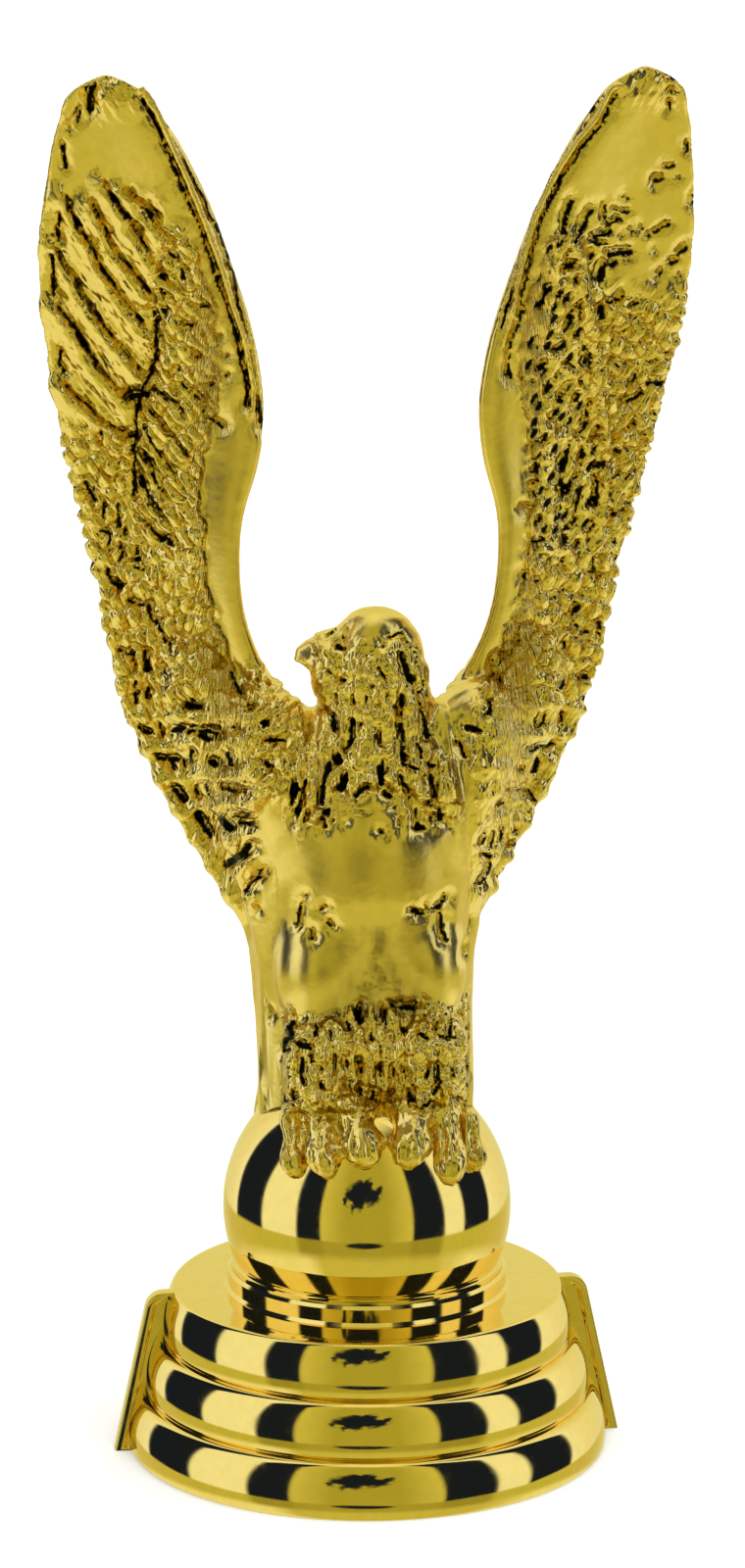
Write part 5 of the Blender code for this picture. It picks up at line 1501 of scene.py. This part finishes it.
class TROPHY_OT_stage(bpy.types.Operator):
    """Sets the pale floor, the soft studio light and the camera"""

    bl_idname = "trophy.stage"
    bl_label = "Stage"

    # The eye: 650 mm in front, 236 mm up, 7.5 degrees to the eagle's right, and looking 13.79 degrees down
    EYE_REACH = 0.650
    EYE_HEIGHT = 0.236
    EYE_SIDE = math.radians(7.5)
    EYE_TILT = math.radians(13.79)
    EYE_PAN = math.radians(0.0557)
    EYE_LENS = 138.78

    def execute(self, context):
        settings = context.scene.trophy_stage
        self.floor(settings)
        self.lights(settings)
        self.surround(context.scene)
        self.camera(context.scene)
        context.scene.view_settings.view_transform = "Standard"
        return {"FINISHED"}

    def floor(self, settings):
        deselect_all()
        bpy.ops.mesh.primitive_circle_add(
            vertices=FLOOR_SIDES, radius=FLOOR_RADIUS, fill_type="NGON", location=(0, 0, 0)
        )
        floor = named(bpy.context.object, "floor")
        material, _, shader = new_material("matt_paper_floor")
        shader.inputs["Base Color"].default_value = settings.floor
        shader.inputs["Roughness"].default_value = 0.9
        shader.inputs["Specular IOR Level"].default_value = 0.0
        floor.data.materials.append(material)
        # The plating reflects the studio round it and not the paper under it
        floor.visible_glossy = False

    def lights(self, settings):
        key = bpy.data.lights.new("key", "SUN")
        key.energy = settings.key_power
        key.angle = math.radians(KEY_SPREAD)
        lamp = new_object("key", key)
        lamp.rotation_euler = (math.radians(KEY_TURN[0]), math.radians(KEY_TURN[1]), 0)
        lamp.visible_glossy = False

    def surround(self, scene):
        """A pale studio with two dark flags on each side of the eye, which stripe everything mirrored."""
        world = bpy.data.worlds.new("studio")
        scene.world = world
        world.use_nodes = True
        tree = world.node_tree
        tree.nodes.clear()
        place = add_node(tree, "ShaderNodeTexCoord").outputs["Generated"]
        turned = add_node(
            tree, "ShaderNodeVectorRotate", {"rotation_type": "Z_AXIS"}, Vector=place, Angle=self.EYE_SIDE
        ).outputs[0]
        parts = add_node(tree, "ShaderNodeSeparateXYZ", Vector=turned).outputs
        ahead = add_node(tree, "ShaderNodeMath", {"operation": "MULTIPLY"}, i0=parts["Y"], i1=-1.0).outputs[0]
        round_it = add_node(
            tree, "ShaderNodeMath", {"operation": "ARCTAN2"}, i0=parts["X"], i1=ahead
        ).outputs[0]
        share = add_node(
            tree, "ShaderNodeMapRange", Value=round_it, i1=-math.pi, i2=math.pi, i3=0.0, i4=1.0
        ).outputs[0]
        stripes = self.ramp(tree, share, STRIPES, share_of_turn)
        table = self.ramp(tree, share, TABLE, share_of_turn)
        paper = self.ramp(tree, share, GROUND, share_of_turn)
        rise = add_node(
            tree, "ShaderNodeMapRange", Value=parts["Z"], i1=-1.0, i2=1.0, i3=0.0, i4=1.0
        ).outputs[0]
        black, white = (0, 0, 0), (1, 1, 1)
        over = self.ramp(tree, rise, ((-90, black), (66, black), (82, white), (90, white)), share_of_rise)
        low_edge = ((-90, white), (-15.2, white), (-14.0, black), (90, black))
        under = self.ramp(tree, rise, low_edge, share_of_rise)
        ground = self.ramp(tree, rise, ((-90, white), (-31, white), (-24, black), (90, black)), share_of_rise)
        low = add_node(tree, "ShaderNodeMix", {"data_type": "RGBA"}, i0=ground, i6=table, i7=paper).outputs[2]
        walls = add_node(
            tree, "ShaderNodeMix", {"data_type": "RGBA"}, i0=under, i6=stripes, i7=low
        ).outputs[2]
        studio = add_node(
            tree, "ShaderNodeMix", {"data_type": "RGBA"}, i0=over, i6=walls, i7=TOP_LIGHT + (1.0,)
        ).outputs[2]
        # The dark shapes of the camera and its stand, right behind the eye
        fuzz = add_node(tree, "ShaderNodeTexNoise", Vector=turned, Scale=9.0, Detail=3.0, Roughness=0.6)
        lean = add_node(
            tree, "ShaderNodeMath", {"operation": "SUBTRACT"}, i0=fuzz.outputs["Fac"], i1=0.5
        ).outputs[0]
        tall = add_node(
            tree, "ShaderNodeMath", {"operation": "MULTIPLY_ADD"}, i0=lean, i1=0.35, i2=parts["Z"]
        ).outputs[0]
        wide = add_node(
            tree, "ShaderNodeMath", {"operation": "MULTIPLY_ADD"}, i0=lean, i1=0.5, i2=round_it
        ).outputs[0]
        camera = self.spot(tree, wide, tall, *CAMERA_SHAPE)
        stand = self.spot(tree, round_it, parts["Z"], *STAND_SHAPE)
        dark = add_node(tree, "ShaderNodeMath", {"operation": "MAXIMUM"}, i0=camera, i1=stand).outputs[0]
        studio = add_node(
            tree, "ShaderNodeMix", {"data_type": "RGBA"}, i0=dark, i6=studio, i7=FLAG_LIGHT + (1.0,)
        ).outputs[2]
        path = add_node(tree, "ShaderNodeLightPath").outputs
        plain = add_node(
            tree, "ShaderNodeMath", {"operation": "MAXIMUM"}, i0=path["Is Camera Ray"],
            i1=path["Is Diffuse Ray"]
        )
        colour = add_node(
            tree, "ShaderNodeMix", {"data_type": "RGBA"}, i0=plain.outputs[0], i6=studio,
            i7=PAPER_WHITE + (1.0,)
        ).outputs[2]
        background = add_node(tree, "ShaderNodeBackground", Color=colour, Strength=1.0)
        out = add_node(tree, "ShaderNodeOutputWorld")
        tree.links.new(background.outputs[0], out.inputs["Surface"])

    @staticmethod
    def spot(tree, round_it, rise, middle_and_half, low_and_high):
        """1 inside an oval of the surround and 0 outside, from degrees round the eye and of height."""
        middle, half = (math.radians(v) for v in middle_and_half)
        low, high = (math.sin(math.radians(v)) for v in low_and_high)
        across = add_node(
            tree, "ShaderNodeMath", {"operation": "SUBTRACT"}, i0=round_it, i1=middle
        ).outputs[0]
        across = add_node(tree, "ShaderNodeMath", {"operation": "DIVIDE"}, i0=across, i1=half).outputs[0]
        up = add_node(
            tree, "ShaderNodeMath", {"operation": "SUBTRACT"}, i0=rise, i1=(low + high) / 2
        ).outputs[0]
        up = add_node(tree, "ShaderNodeMath", {"operation": "DIVIDE"}, i0=up, i1=(high - low) / 2).outputs[0]
        place = add_node(tree, "ShaderNodeCombineXYZ", X=across, Y=up).outputs[0]
        away = add_node(tree, "ShaderNodeVectorMath", {"operation": "LENGTH"}, i0=place).outputs["Value"]
        return add_node(tree, "ShaderNodeMapRange", Value=away, i1=0.85, i2=1.1, i3=1.0, i4=0.0).outputs[0]

    @staticmethod
    def ramp(tree, value, stops, place_of):
        """A colour ramp over a value, with stops from angles in degrees and colours."""
        node = add_node(tree, "ShaderNodeValToRGB", Fac=value)
        elements = node.color_ramp.elements
        elements.remove(elements[0])
        for k, (degrees, colour) in enumerate(stops):
            element = elements[0] if k == 0 else elements.new(place_of(degrees))
            element.position = place_of(degrees)
            element.color = tuple(colour) + (1.0,)
        return node.outputs[0]

    def camera(self, scene):
        data = bpy.data.cameras.new("eye")
        data.sensor_fit = "VERTICAL"
        data.sensor_height = 36.0
        data.lens = self.EYE_LENS
        data.clip_start, data.clip_end = 0.05, 50.0
        eye = new_object("eye", data)
        eye.location = (
            -self.EYE_REACH * math.sin(self.EYE_SIDE), -self.EYE_REACH * math.cos(self.EYE_SIDE),
            self.EYE_HEIGHT
        )
        pan = self.EYE_SIDE + self.EYE_PAN
        ahead = Vector(
            (math.sin(pan) * math.cos(self.EYE_TILT), math.cos(pan) * math.cos(self.EYE_TILT),
            -math.sin(self.EYE_TILT))
        )
        eye.rotation_mode = "QUATERNION"
        eye.rotation_quaternion = ahead.to_track_quat("-Z", "Y")
        scene.camera = eye


class TROPHY_PT_panel(bpy.types.Panel):
    """Lists the trophy's pieces and settings"""

    bl_label = "Eagle Trophy"
    bl_idname = "TROPHY_PT_panel"
    bl_space_type = "VIEW_3D"
    bl_region_type = "UI"
    bl_category = "Trophy"

    def draw(self, context):
        scene = context.scene
        for group in (scene.trophy_plinth, scene.trophy_figure, scene.trophy_finish, scene.trophy_stage):
            box = self.layout.box()
            for name in group.__annotations__:
                box.prop(group, name)
        for operator in (TROPHY_OT_plinth, TROPHY_OT_ball, TROPHY_OT_eagle, TROPHY_OT_stage):
            self.layout.operator(operator.bl_idname)


CLASSES = (
    TrophyPlinthSettings, TrophyFigureSettings, TrophyFinishSettings, TrophyStageSettings, TROPHY_OT_plinth,
    TROPHY_OT_ball, TROPHY_OT_eagle, TROPHY_OT_stage, TROPHY_PT_panel,
)


def register():
    for item in CLASSES:
        bpy.utils.register_class(item)
    bpy.types.Scene.trophy_plinth = PointerProperty(type=TrophyPlinthSettings)
    bpy.types.Scene.trophy_figure = PointerProperty(type=TrophyFigureSettings)
    bpy.types.Scene.trophy_finish = PointerProperty(type=TrophyFinishSettings)
    bpy.types.Scene.trophy_stage = PointerProperty(type=TrophyStageSettings)


def unregister():
    for name in ("trophy_plinth", "trophy_figure", "trophy_finish", "trophy_stage"):
        delattr(bpy.types.Scene, name)
    for item in reversed(CLASSES):
        bpy.utils.unregister_class(item)


def main():
    register()
    bpy.ops.trophy.plinth()
    bpy.ops.trophy.ball()
    bpy.ops.trophy.eagle()
    bpy.ops.trophy.stage()


if __name__ == "__main__":
    main()
